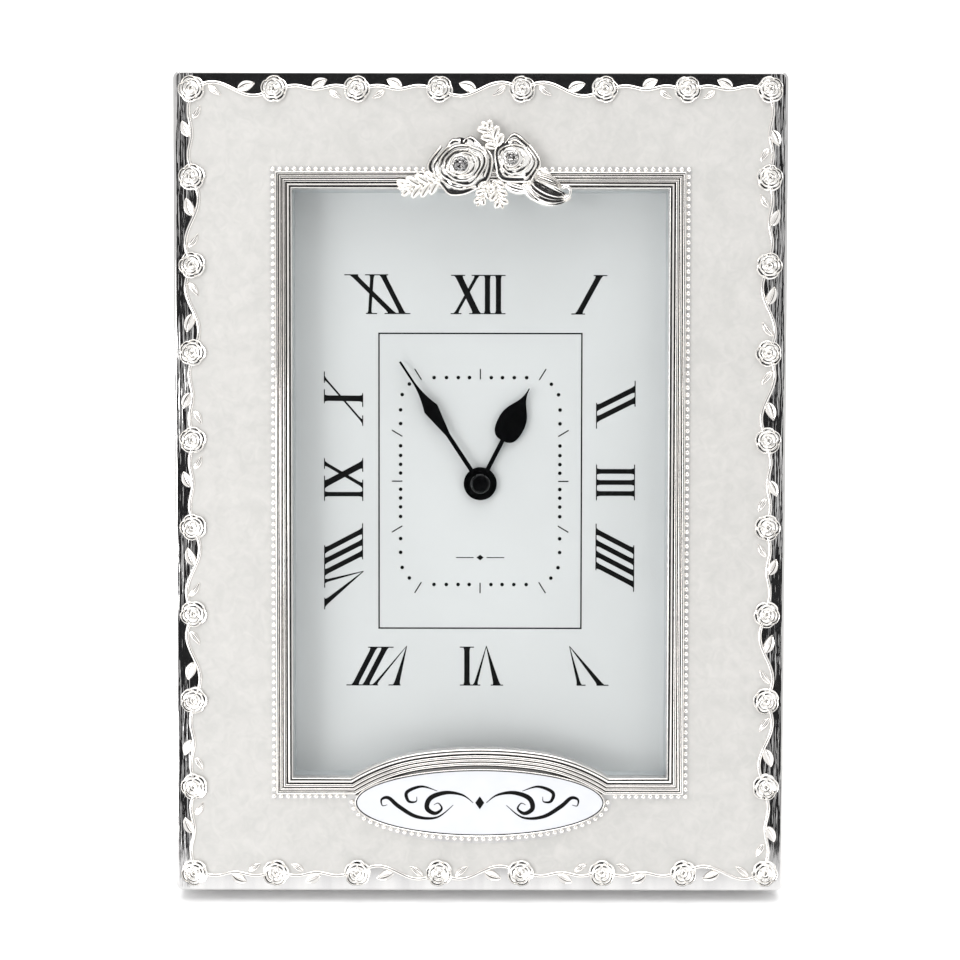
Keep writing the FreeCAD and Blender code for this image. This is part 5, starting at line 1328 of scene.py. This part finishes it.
@dataclass
class Cluster:
    """Two applied roses with crystals and the leaves under them."""

    base: float = 1.55
    left_centre: Flat = (-4.98, 176.8)
    right_centre: Flat = (7.21, 178.4)
    left_foot: Flat = (-5.0, 181.2)
    right_foot: Flat = (9.1, 181.2)
    foot_radius: float = 2.4
    foot_lap: float = 0.3
    plate_radius: float = 4.6
    plate_height: float = 0.7
    # Width of the petals' rims and depth of the hollows behind them
    petal_rim: Flat = (0.4, 0.8)
    # Turn, radius and height of the petals that close round a crystal
    bud: tuple[Point, ...] = ((20.0, 2.95, 4.42), (140.0, 2.75, 4.4), (262.0, 2.85, 4.36))
    bud_rim: Rim = Rim(0.26, 0.5, 0.6)
    bud_span: float = 130.0
    bud_wind: float = 0.5
    bud_sag: float = 0.25
    bud_foot: float = 3.0
    crystal_radius: float = 2.0
    crystal_seat: float = 4.05
    crystal_top: float = 5.5
    stone_gap: float = 0.04
    cup_wall: float = 0.28
    cup_lap: float = 0.02
    # Height of the cup's foot, of its outer edge and of its inner edge
    cup_heights: Point = (3.2, 4.5, 4.6)
    # Shares of the radius and of the crown's height: table's width, star's width and height, girdle's edges
    table_share: float = 0.55
    star_shares: Flat = (0.76, 0.66)
    girdle_shares: Flat = (0.12, 0.04)
    culet_depth: float = 1.35
    foil_lap: float = 0.02
    foil_rim: float = 0.04
    foil_gap: float = 0.07
    foil_thickness: float = 0.05
    # Half width, middle height and rise of the curled stem at the right
    hook: Point = (0.42, 0.55, 0.5)
    left_rings: tuple[Ring, ...] = (
        (2.9, 0.0, 2.3, (((-11.0, 172.3), (-12.3, 174.3), (-12.9, 177.3), (-9.8, 181.7)),
                         ((-9.0, 180.4), (-7.1, 183.1), (-4.9, 183.2)),
                         ((-4.2, 182.8), (-2.2, 183.9), (0.6, 181.5)),
                         ((0.2, 181.9), (2.7, 179.5), (2.9, 176.1), (1.8, 173.0), (-0.4, 171.0)),
                         ((0.2, 171.6), (-3.7, 169.7), (-7.5, 169.5), (-9.6, 171.6), (-11.2, 172.8)))),
        (3.3, 0.0, 1.9, (((-11.2, 174.2), (-11.7, 177.2), (-9.3, 180.4), (-7.4, 181.9)),
                         ((-1.4, 182.5), (1.2, 180.5), (2.0, 177.2), (1.1, 173.9)),
                         ((-1.0, 171.6), (-5.0, 170.8), (-8.6, 172.2), (-10.9, 174.6)))),
        (3.75, 0.2, 1.9, (((-10.5, 175.6), (-9.7, 178.8), (-6.5, 181.6), (-2.7, 181.8)),
                          ((-3.4, 182.0), (0.9, 180.0), (1.5, 176.9), (-0.5, 173.4)),
                          ((0.1, 174.0), (-2.4, 171.7), (-5.4, 171.9), (-9.4, 173.8), (-10.5, 176.2)))),
        (4.05, 0.5, 1.6, (((-9.1, 175.2), (-8.8, 178.2), (-6.2, 180.5), (-2.7, 180.6)),
                          ((-3.2, 180.9), (-0.3, 179.2), (0.4, 176.6), (-1.2, 173.8)),
                          ((-0.8, 174.2), (-3.3, 172.8), (-6.6, 173.0), (-9.1, 175.5)))),
        (4.4, 0.8, 1.3, (((-8.0, 174.8), (-7.8, 177.8), (-6.2, 179.4)),
                         ((-6.8, 179.0), (-4.6, 179.9), (-2.1, 179.5), (-0.9, 177.3)),
                         ((-0.9, 178.0), (-1.7, 174.7), (-5.2, 173.7), (-8.1, 174.9)))),
    )
    right_rings: tuple[Ring, ...] = (
        (2.9, 0.0, 2.2, (((5.7, 182.4), (8.2, 184.7), (11.9, 181.9)),
                         ((11.7, 182.3), (14.6, 177.7), (13.1, 174.3), (11.6, 171.7)),
                         ((12.3, 173.0), (10.3, 172.6), (5.2, 172.9), (3.4, 175.2)),
                         ((3.9, 174.9), (3.2, 178.6), (3.5, 181.5), (5.4, 182.9)))),
        (3.4, 0.0, 1.8, (((6.6, 182.5), (8.6, 183.2), (11.4, 181.0)),
                         ((11.3, 181.4), (13.6, 177.7), (12.4, 174.8), (10.9, 173.4)),
                         ((11.2, 173.8), (6.2, 173.8), (4.5, 175.9)))),
        (3.85, 0.2, 1.6, (((4.2, 177.6), (4.3, 180.6), (7.9, 182.0), (11.3, 181.0)),
                          ((10.5, 181.4), (12.6, 178.3), (11.4, 175.9), (8.9, 174.5)),
                          ((9.9, 174.9), (7.2, 174.3), (5.0, 175.8), (4.1, 178.6)))),
        (4.35, 0.7, 1.3, (((4.9, 177.4), (5.2, 180.2), (7.6, 181.1), (9.8, 180.1)),
                          ((9.1, 180.6), (10.7, 178.3), (9.7, 175.9), (7.6, 175.3)),
                          ((8.4, 175.5), (6.2, 175.5), (4.9, 177.8)))),
    )

    def rose(self, rings: Sequence[Ring], crystal: Flat, foot: Flat) -> Shell:
        """Rose of angular petals that close round a crystal.

        Args:
            rings: Its rings of petals, the lowest first.
            crystal: Centre of the crystal.
            foot: Place of the foot that it stands on.

        Returns:
            The rose's shell.
        """
        shell = Shell()
        width, depth = self.petal_rim
        for top, low, reach, lines in rings:
            Petals(lines, top, self.base + low, Rim(width, reach, depth)).add(shell, crystal)
        for turn, radius, top in self.bud:
            line = [polar(crystal, radius - self.bud_wind * (angle - turn) / self.bud_span, angle)
                    for angle in between(turn, turn + self.bud_span, 14)]
            tops = [top - self.bud_sag * (2 * t - 1) ** 2 for t in between(0.0, 1.0, 14)]
            self.bud_rim.add(shell, line, tops, crystal, self.bud_foot)
        outer, inner = self.crystal_radius + self.cup_wall, self.crystal_radius - self.cup_lap
        low, edge, lip = self.cup_heights
        shell.sweep(lambda radius: circle(crystal, radius, 36),
                    ((outer, low), (outer, edge), (inner, lip), (inner, low)))
        shell.prism(circle(crystal, self.plate_radius, 24), self.base, self.base + self.plate_height)
        shell.prism(circle(foot, self.foot_radius, 24), 0.0, self.base + self.foot_lap)
        return shell

    def leaves(self) -> Shell:
        """Leaves and loose petals that come out from under the roses.

        Returns:
            Shell of them all.
        """
        shell = Shell()
        z = self.base
        sprays = (
            LobedLeaf((-9.2, 173.9), (-20.2, 171.4), 6.0, 1.2, z, 4, 0.7),
            LobedLeaf((4.2, 180.4), (0.1, 187.4), 5.6, 1.2, z, 3, -0.5),
            LobedLeaf((1.8, 173.6), (-0.9, 166.9), 3.8, 1.1, z, 3, 0.3),
            LobedLeaf((3.3, 173.6), (5.5, 166.3), 4.8, 1.2, z + 0.1, 3, -0.3),
            Leaf((5.6, 172.6), (12.4, 171.0), 2.8, 1.0, z, Blade.PLUMP, -0.6),
            Leaf((13.0, 175.6), (17.2, 173.6), 2.4, 1.0, z, Blade.PLUMP, 0.5),
            Leaf((11.2, 173.6), (21.9, 169.2), 6.0, 1.3, z, Blade.RIBBED, -1.5),
            Leaf((12.6, 174.4), (19.6, 171.6), 3.0, 1.1, z + 0.4, Blade.RIBBED, 0.4),
            Leaf((10.0, 172.9), (15.8, 167.4), 2.6, 1.0, z - 0.05, Blade.PLUMP, -0.5),
        )
        for spray in sprays:
            spray.add(shell)
        hook = smooth_line(((20.2, 168.9), (21.4, 169.7), (21.6, 171.0), (20.7, 171.8), (19.6, 171.4)), 6)
        half, middle, rise = self.hook
        shell.skin([[(x + nx * side * half, y + ny * side * half, z + middle + up * rise)
                     for side, up in circle(ORIGIN, 1.0, 8)]
                    for (x, y), (nx, ny) in zip(hook, normals(hook))])
        return shell

    def gem(self, centre: Flat) -> tuple[Shell, Shell]:
        """Cut crystal and the foil cup under it.

        Args:
            centre: Where the crystal sits.

        Returns:
            Shell of the crystal and shell of the foil.
        """
        def corners(radius: float, height: float, turn: float, count: int = 8) -> list[Point]:
            """Corners of one ring of facets."""
            return [(*polar(centre, radius, turn + 360 * k / count), height) for k in range(count)]

        low, crown = self.crystal_seat, self.crystal_top - self.crystal_seat
        radius = self.crystal_radius - self.stone_gap
        width, height = self.star_shares
        upper, lower = self.girdle_shares
        points = corners(radius * self.table_share, self.crystal_top, 22.5)
        points += corners(radius * width, low + crown * height, 0.0)
        points += corners(radius, low + crown * upper, 0.0, 16)
        points += corners(radius, low + crown * lower, 0.0, 16)
        points.append((*centre, low - self.culet_depth))
        faces: list[tuple[int, ...]] = [tuple(range(8))]
        for k in range(8):
            after, first = (k + 1) % 8, 16 + 2 * k
            faces.append((k, (k + 7) % 8, 8 + k))
            faces.append((8 + k, first, first + 1))
            faces.append((8 + k, first + 1, 8 + after, k))
            faces.append((8 + after, first + 1, 16 + (2 * k + 2) % 16))
        for k in range(16):
            after = (k + 1) % 16
            faces.append((16 + k, 32 + k, 32 + after, 16 + after))
            faces.append((32 + k, 48, 32 + after))
        reach, bottom = radius + self.foil_lap, low - self.culet_depth - self.foil_gap
        cup = corners(reach, low + self.foil_lap, 0.0, 16)
        cup += corners(reach + self.foil_rim, low + self.foil_lap, 0.0, 16)
        cup += [(*centre, bottom), (*centre, bottom - self.foil_thickness)]
        sides = []
        for k in range(16):
            after = (k + 1) % 16
            sides += [(k, after, 32), (16 + after, 16 + k, 33), (k, 16 + k, 16 + after, after)]
        return Shell(points, faces), Shell(cup, sides)

    def build(self) -> None:
        """Shows the roses, leaves and crystals."""
        left = self.rose(self.left_rings, self.left_centre, self.left_foot)
        right = self.rose(self.right_rings, self.right_centre, self.right_foot)
        show("left_rose_petals", left, PLATE, "applied_rose_left", sharp=55.0)
        show("right_rose_petals", right, PLATE, "applied_rose_right", sharp=55.0)
        show("rose_leaves", self.leaves(), PLATE, "applied_leaves", sharp=55.0)
        stones, foils = Shell(), Shell()
        for centre in (self.left_centre, self.right_centre):
            stone, foil = self.gem(centre)
            stones.join(stone)
            foils.join(foil)
        show("cut_crystals", stones, CRYSTAL, "crystals", sharp=1.0)
        show("crystal_foils", foils, FOIL, sharp=1.0)


# One stroke of a numeral: place and thickness at its outer end, then at its inner end
Stroke = tuple[float, float, float, float, float, float]


@dataclass(frozen=True)
class Numeral:
    """Roman numeral drawn with a broad pen and closed with thin serifs, from the dial's middle."""

    upright: bool
    strokes: tuple[Stroke, ...]
    serifs: tuple[tuple[float, float, float, float], ...]


NUMERALS = (
    Numeral(True, ((-5.5, 51.0, 1.75, -0.9, 41.55, 1.75), (-0.8, 51.0, 0.9, -6.1, 41.55, 0.85),
                   (1.72, 51.0, 1.3, 1.72, 41.55, 1.3), (4.45, 51.0, 1.3, 4.45, 41.55, 1.3)),
            ((-7.3, 51.0, -3.8, 51.0), (-2.2, 51.0, 6.2, 51.0), (-7.4, 41.55, -4.7, 41.55),
             (-2.8, 41.55, 6.2, 41.55))),
    Numeral(True, ((29.5, 51.0, 1.5, 24.3, 41.5, 1.5),),
            ((28.0, 51.0, 31.4, 51.0), (22.5, 41.5, 25.9, 41.5))),
    Numeral(False, ((38.4, 23.0, 1.42, 28.85, 18.2, 1.42), (38.4, 20.2, 1.42, 28.85, 15.4, 1.42)),
            ((38.4, 25.0, 38.4, 18.6), (28.85, 19.5, 28.85, 13.1))),
    Numeral(False, ((38.35, 2.5, 1.18, 28.9, 2.5, 1.18), (38.35, -0.25, 1.18, 28.9, -0.25, 1.18),
                    (38.35, -3.0, 1.18, 28.9, -3.0, 1.18)),
            ((38.35, 4.2, 38.35, -4.7), (28.9, 4.2, 28.9, -4.7))),
    Numeral(False, ((38.25, -17.3, 1.4, 28.85, -12.4, 1.4), (38.25, -20.1, 1.4, 28.85, -15.2, 1.4),
                    (38.25, -22.9, 1.4, 28.85, -18.0, 1.4), (38.25, -25.7, 1.4, 28.85, -20.8, 1.4)),
            ((38.25, -15.9, 38.25, -27.5), (28.85, -10.5, 28.85, -22.1))),
    Numeral(True, ((24.8, -50.9, 0.95, 22.3, -41.1, 0.14), (30.2, -50.9, 1.6, 22.3, -41.1, 0.17)),
            ((24.2, -50.9, 26.4, -50.9), (29.1, -50.9, 32.1, -50.9))),
    Numeral(True, ((-3.25, -50.9, 1.36, -3.25, -41.4, 1.36), (-1.15, -50.9, 0.86, 1.6, -41.1, 0.14),
                   (4.25, -50.9, 1.64, 1.6, -41.1, 0.17)),
            ((-5.0, -41.4, -1.5, -41.4), (-5.0, -50.9, 0.1, -50.9), (2.7, -50.9, 5.8, -50.9))),
    Numeral(True, ((-31.2, -50.9, 1.46, -26.35, -41.45, 1.46), (-28.5, -50.9, 1.46, -23.6, -41.45, 1.46),
                   (-26.35, -50.9, 0.89, -18.25, -41.1, 0.13), (-20.85, -50.9, 1.42, -18.25, -41.1, 0.18)),
            ((-27.9, -41.45, -21.55, -41.45), (-33.3, -50.9, -25.4, -50.9), (-22.8, -50.9, -19.8, -50.9))),
    Numeral(False, ((-38.7, -17.3, 1.38, -29.25, -12.35, 1.38), (-38.7, -20.0, 1.38, -29.25, -15.15, 1.38),
                    (-38.7, -22.8, 1.38, -29.25, -17.95, 1.38), (-38.7, -24.95, 0.79, -29.0, -22.45, 0.17),
                    (-38.7, -30.5, 1.67, -29.0, -22.45, 0.2)),
            ((-38.7, -16.0, -38.7, -26.6), (-38.7, -29.1, -38.7, -32.0), (-29.25, -10.5, -29.25, -19.5))),
    Numeral(False, ((-38.7, 4.45, 0.95, -29.2, -1.1, 0.95), (-38.7, -0.85, 1.73, -29.2, 4.25, 1.73),
                    (-38.7, -3.25, 1.09, -29.2, -3.25, 1.09)),
            ((-38.7, 5.7, -38.7, 3.0), (-29.2, 5.75, -29.2, 2.3), (-38.7, 1.3, -38.7, -4.95),
             (-29.2, 0.35, -29.2, -4.95))),
    Numeral(False, ((-38.7, 25.65, 0.7, -29.2, 14.7, 0.7), (-38.7, 20.6, 1.36, -29.2, 20.5, 1.44)),
            ((-38.7, 27.2, -38.7, 24.4), (-38.7, 22.8, -38.7, 19.3), (-29.2, 21.85, -29.2, 18.4),
             (-29.2, 16.3, -29.2, 13.7))),
    Numeral(True, ((-31.5, 51.1, 1.6, -21.75, 41.55, 1.66), (-26.85, 51.1, 0.89, -27.45, 41.55, 0.78),
                   (-24.2, 51.1, 1.37, -19.3, 41.55, 1.37)),
            ((-33.7, 51.1, -30.3, 51.1), (-28.6, 51.1, -22.85, 51.1), (-28.4, 41.55, -25.6, 41.55),
             (-23.75, 41.55, -17.35, 41.55))),
)


@dataclass
class Dial:
    """Glass, tray wall and card, with the card's numerals, minute track and rectangle."""

    centre: Flat = (0.0, 100.35)
    card_front: float = -9.0
    ink_height: float = 0.02
    # Prints take one of so many levels, a step apart, so that those that overlap seldom share a face
    ink_step: float = 0.0004
    ink_levels: int = 29
    serif_half: float = 0.13
    # How strokes wider than a point spread into their serifs
    bracket: float = 0.5
    bracket_share: float = 0.1
    bracket_spread: float = 1.1
    point_width: float = 0.3
    line_half: float = 0.18
    # Half width and half height
    square: Flat = (25.15, 36.65)
    rule_height: float = -19.0
    rule_ends: Flat = (1.6, 6.0)
    rule_half: float = 0.11
    diamond: Flat = (0.9, 0.7)
    dot_radius: float = 0.46
    dash_half: float = 0.15
    dots: tuple[Flat, ...] = ((2.71, 25.73), (5.48, 25.73), (8.41, 25.73), (11.48, 25.73), (17.62, 24.11),
                              (19.4, 21.5), (19.79, 17.72), (19.79, 14.3), (19.79, 8.79), (19.79, 6.39),
                              (19.79, 4.18), (19.79, 2.02))
    dashes: tuple[tuple[Flat, Flat], ...] = (((0.0, 25.3), (0.0, 27.9)), ((14.6, 25.15), (16.3, 27.87)),
                                             ((19.35, 11.13), (21.95, 12.69)), ((19.35, 0.0), (21.95, 0.0)))

    def lay(self, shell: Shell, outline: Sequence[Flat]) -> None:
        """Prints one closed outline, given from the dial's middle, on one of the levels."""
        level = self.card_front + self.ink_height + self.ink_step * (len(shell.faces) % self.ink_levels)
        shell.prism([(x + self.centre[0], y + self.centre[1]) for x, y in outline], self.card_front, level)

    def bar(self, shell: Shell, start: Flat, end: Flat, half: float) -> None:
        """Prints a straight bar.

        Args:
            shell: Shell that takes it in.
            start: Middle of one end.
            end: Middle of the other end.
            half: Half of its width.
        """
        (nx, ny), *_ = normals((start, end))
        self.lay(shell, [(x + nx * side * half, y + ny * side * half)
                         for (x, y), side in ((start, 1), (end, 1), (end, -1), (start, -1))])

    def stroke(self, shell: Shell, upright: bool, stroke: Stroke) -> None:
        """Prints a stroke that spreads into its serifs, except where it comes to a point.

        Args:
            shell: Shell that takes it in.
            upright: Whether its width lies across the dial and not up it.
            stroke: Its ends and their widths.
        """
        x0, y0, t0, x1, y1, t1 = stroke
        left, right = [], []
        first, last = (self.bracket if width > self.point_width else 0.0 for width in (t0, t1))
        for t in (0.0, 0.025, 0.055, 0.1, 0.5, 0.9, 0.945, 0.975, 1.0):
            spread = (max(first * (1 - t / self.bracket_share), 0.0) ** 2
                      + max(last * (1 - (1 - t) / self.bracket_share), 0.0) ** 2)
            half = (t0 + (t1 - t0) * t) / 2 + spread * self.bracket_spread
            x, y = x0 + (x1 - x0) * t, y0 + (y1 - y0) * t
            left.append((x - half, y) if upright else (x, y - half))
            right.append((x + half, y) if upright else (x, y + half))
        self.lay(shell, left + right[::-1])

    def numerals(self, shell: Shell) -> None:
        """Prints the twelve numerals with their serifs.

        Args:
            shell: Shell that takes it in.
        """
        for numeral in NUMERALS:
            for stroke in numeral.strokes:
                self.stroke(shell, numeral.upright, stroke)
            for x0, y0, x1, y1 in numeral.serifs:
                self.bar(shell, (x0, y0), (x1, y1), self.serif_half)

    def rectangle(self, shell: Shell) -> None:
        """Prints the line round the minute track.

        Args:
            shell: Shell that takes it in.
        """
        wide, high = self.square
        corners = ((-wide, -high), (wide, -high), (wide, high), (-wide, high))
        for (ax, ay), (bx, by) in zip(corners, corners[1:] + corners[:1]):
            length = math.hypot(bx - ax, by - ay)
            ex, ey = (bx - ax) / length * self.line_half, (by - ay) / length * self.line_half
            self.bar(shell, (ax - ex, ay - ey), (bx + ex, by + ey), self.line_half)

    def track(self, shell: Shell) -> None:
        """Prints the minute dots and the dashes at the hours, mirrored both ways.

        Args:
            shell: Shell that takes it in.
        """
        for across, up in ((1, 1), (1, -1), (-1, 1), (-1, -1)):
            for x, y in self.dots:
                self.lay(shell, circle((across * x, up * y), self.dot_radius, 18))
            for (ax, ay), (bx, by) in self.dashes:
                if (ax or across > 0) and (ay or up > 0):
                    self.bar(shell, (across * ax, up * ay), (across * bx, up * by), self.dash_half)

    def rule(self, shell: Shell) -> None:
        """Prints a short rule with a diamond in its middle.

        Args:
            shell: Shell that takes it in.
        """
        level, (near, far), (wide, high) = self.rule_height, self.rule_ends, self.diamond
        for side in (1, -1):
            self.bar(shell, (side * near, level), (side * far, level), self.rule_half)
        self.lay(shell, [(wide, level), (0.0, level + high), (-wide, level), (0.0, level - high)])

    def build(self) -> None:
        """Dresses the glass, tray and card and shows the printing."""
        dress(GLASS, "glass_pane")
        dress(TRAY, "dial_spacer")
        dress(CARD, "dial_card")
        shell = Shell()
        for printing in (self.numerals, self.rectangle, self.track, self.rule):
            printing(shell)
        show("dial_printing", shell, INK)


@dataclass
class Casting:
    """Cast front and the pearl enamel let into it, which keep the shapes of their solids."""

    def build(self) -> None:
        """Dresses both."""
        dress(BAND_PLATE, "front_frame")
        dress(PEARL, "enamel_field")


@dataclass
class Hands:
    """Lacquered hands and the cap over their arbor."""

    edge: float = 0.08

    def build(self) -> None:
        """Dresses the hands, whose pressed edges are rounded, and the cap."""
        dress(LACQUER, "minute_hand", "hour_hand", bevel=self.edge)
        dress(LACQUER, "hand_cap")


@dataclass
class Back:
    """Flocked board in its ring, turn clips and easel strut."""

    strut_edge: float = 0.5
    clip_edge: float = 0.15

    def build(self) -> None:
        """Dresses the flocked pieces and the nickelled fittings."""
        dress(VELVET, "back_board", "backing_frame")
        dress(VELVET, "easel_strut", bevel=self.strut_edge)
        dress(NICKEL, "clip_screws", "hinge_board_leaf", "hinge_strut_leaf", "hinge_pin", "board_rivets",
              "strut_rivets")
        for side in ("left", "right"):
            dress(NICKEL, f"turn_clip_{side}_low", f"turn_clip_{side}_high", bevel=self.clip_edge)


@dataclass
class Movement:
    """Quartz movement with its wheels, motor, circuit and cell."""

    case_edge: float = 0.3
    knob_edge: float = 0.15

    def build(self) -> None:
        """Dresses the case and all that lies in it."""
        dress(BLACK_ABS, "movement_case", bevel=self.case_edge)
        dress(BLACK_ABS, "movement_cover")
        dress(BLACK_ABS, "setting_knob", bevel=self.knob_edge)
        dress(ACETAL, "train_bridge", "hour_wheel", "minute_work_wheel", "centre_wheel", "third_wheel",
              "seconds_wheel", "intermediate_wheel")
        dress(BRASS, "minute_arbor", "mounting_nut")
        dress(CONTACT, "contact_positive", "contact_negative", "contact_spring")
        for finish, node in ((FERRITE, "rotor"), (SOFT_IRON, "stator"), (COPPER, "coil_winding"),
                             (BOBBIN, "coil_bobbin"), (CIRCUIT, "circuit_board"), (RESIN, "clock_chip"),
                             (CAN, "quartz_resonator"), (JACKET, "battery"), (RUBBER, "rubber_washer")):
            dress(finish, node)


@dataclass
class Studio:
    """Pale floor, soft light and the camera."""

    camera_place: Point = (-0.44, -417.4, 219.2)
    camera_angles: Point = (73.991, -0.0987, -0.0243)
    lens: float = 66.0
    sensor: float = 36.0
    nearest: float = 10.0
    floor_reach: float = 2500.0
    floor_half_width: float = 1500.0
    flag_place: float = -1200.0
    flag_half_width: float = 370.0
    flag_heights: Flat = (12.0, 900.0)
    room_light: float = 1.0
    room_colour: str = "#fdfdfd"
    wall_height: float = 1800.0
    wall_bend: float = 400.0
    # Name, place, aim and size in millimetres and power in watts of each soft light
    lamps: tuple[tuple[str, Point, Point, float, float], ...] = (
        ("side_softbox", (-620.0, -640.0, 150.0), (0.0, 0.0, 100.0), 420.0, 3.2),
        ("top_softbox", (0.0, -100.0, 1100.0), (0.0, 0.0, 100.0), 900.0, 6.0),
        ("wall_wash", (0.0, 500.0, 1500.0), (0.0, 1650.0, 500.0), 1200.0, 16.0),
    )

    def stand(self, name: str, points: Sequence[Point], faces: Sequence[tuple[int, ...]],
              finish: Finish) -> bpy.types.Object:
        """Adds a sheet of the studio, which is no part of the clock.

        Args:
            name: Name of the sheet.
            points: Its points in the room, in millimetres.
            faces: Its faces.
            finish: What it is made of.

        Returns:
            The new object.
        """
        mesh = bpy.data.meshes.new(name)
        mesh.from_pydata([Vector(point) * MM for point in points], [], faces)
        mesh.polygons.foreach_set("use_smooth", [True] * len(mesh.polygons))
        mesh.materials.append(finish.make())
        sheet = bpy.data.objects.new(name, mesh)
        bpy.context.scene.collection.objects.link(sheet)
        LOG.info("stood %s", name)
        return sheet

    def backdrop(self) -> None:
        """Paper floor that sweeps up into a wall far behind the clock."""
        bend, back = self.wall_bend, self.floor_reach * 0.5
        profile = [(-self.floor_reach, 0.0), (back, 0.0)]
        profile.extend((back + x, bend + y) for x, y in arc(ORIGIN, bend, -80.0, 0.0, 12))
        profile.append((back + bend, self.wall_height))
        points = [(side * self.floor_half_width, y, z) for y, z in profile for side in (-1, 1)]
        faces = [(2 * k, 2 * k + 1, 2 * k + 3, 2 * k + 2) for k in range(len(profile) - 1)]
        self.stand("studio_paper_sweep", points, faces, PAPER)

    def flag(self) -> None:
        """Black cloth behind the camera, which the polished band mirrors; no view shows it."""
        wide, (low, high) = self.flag_half_width, self.flag_heights
        corners = [(x, self.flag_place, z)
                   for x, z in ((-wide, low), (wide, low), (wide, high), (-wide, high))]
        self.stand("studio_black_flag", corners, [(0, 1, 2, 3)], FLAG_CLOTH).visible_camera = False

    def room(self) -> None:
        """Even white light from all round."""
        world = bpy.data.worlds.new("studio_room")
        bpy.context.scene.world = world
        recipe = Recipe(world)
        sockets = {"Color": linear(self.room_colour), "Strength": self.room_light}
        light = recipe.node("ShaderNodeBackground", sockets)
        recipe.node("ShaderNodeOutputWorld", {0: light})

    def lamp(self, name: str, place: Point, aim: Point, size: float, power: float) -> None:
        """Square soft light aimed at a point, all in millimetres and watts.

        Args:
            name: Name of the light.
            place: Where it hangs.
            aim: What it points at.
            size: Length of its sides.
            power: Its power.
        """
        data = bpy.data.lights.new(name, "AREA")
        data.size = size * MM
        data.energy = power
        lamp = bpy.data.objects.new(name, data)
        bpy.context.scene.collection.objects.link(lamp)
        lamp.location = Vector(place) * MM
        lamp.rotation_euler = (Vector(aim) - Vector(place)).to_track_quat("-Z", "Y").to_euler()

    def build(self) -> None:
        """Sets the floor, light and camera."""
        self.backdrop()
        self.flag()
        self.room()
        for lamp in self.lamps:
            self.lamp(*lamp)
        data = bpy.data.cameras.new("photo_camera")
        data.lens = self.lens
        data.sensor_width = self.sensor
        data.clip_start = self.nearest * MM
        camera = bpy.data.objects.new("photo_camera", data)
        bpy.context.scene.collection.objects.link(camera)
        camera.location = Vector(self.camera_place) * MM
        camera.rotation_euler = [math.radians(angle) for angle in self.camera_angles]
        bpy.context.scene.camera = camera
        bpy.context.scene.view_settings.view_transform = "Standard"


def main() -> None:
    """Builds the clock's looks piece by piece and the studio round it."""
    logging.basicConfig(level=logging.INFO, format="%(message)s")
    for part in (Casting(), Border(), Window(), Beads(), Plaque(), Cluster(), Dial(), Hands(), Back(),
                 Movement(), Studio()):
        LOG.info("building %s", type(part).__name__)
        part.build()


if __name__ == "__main__":
    main()
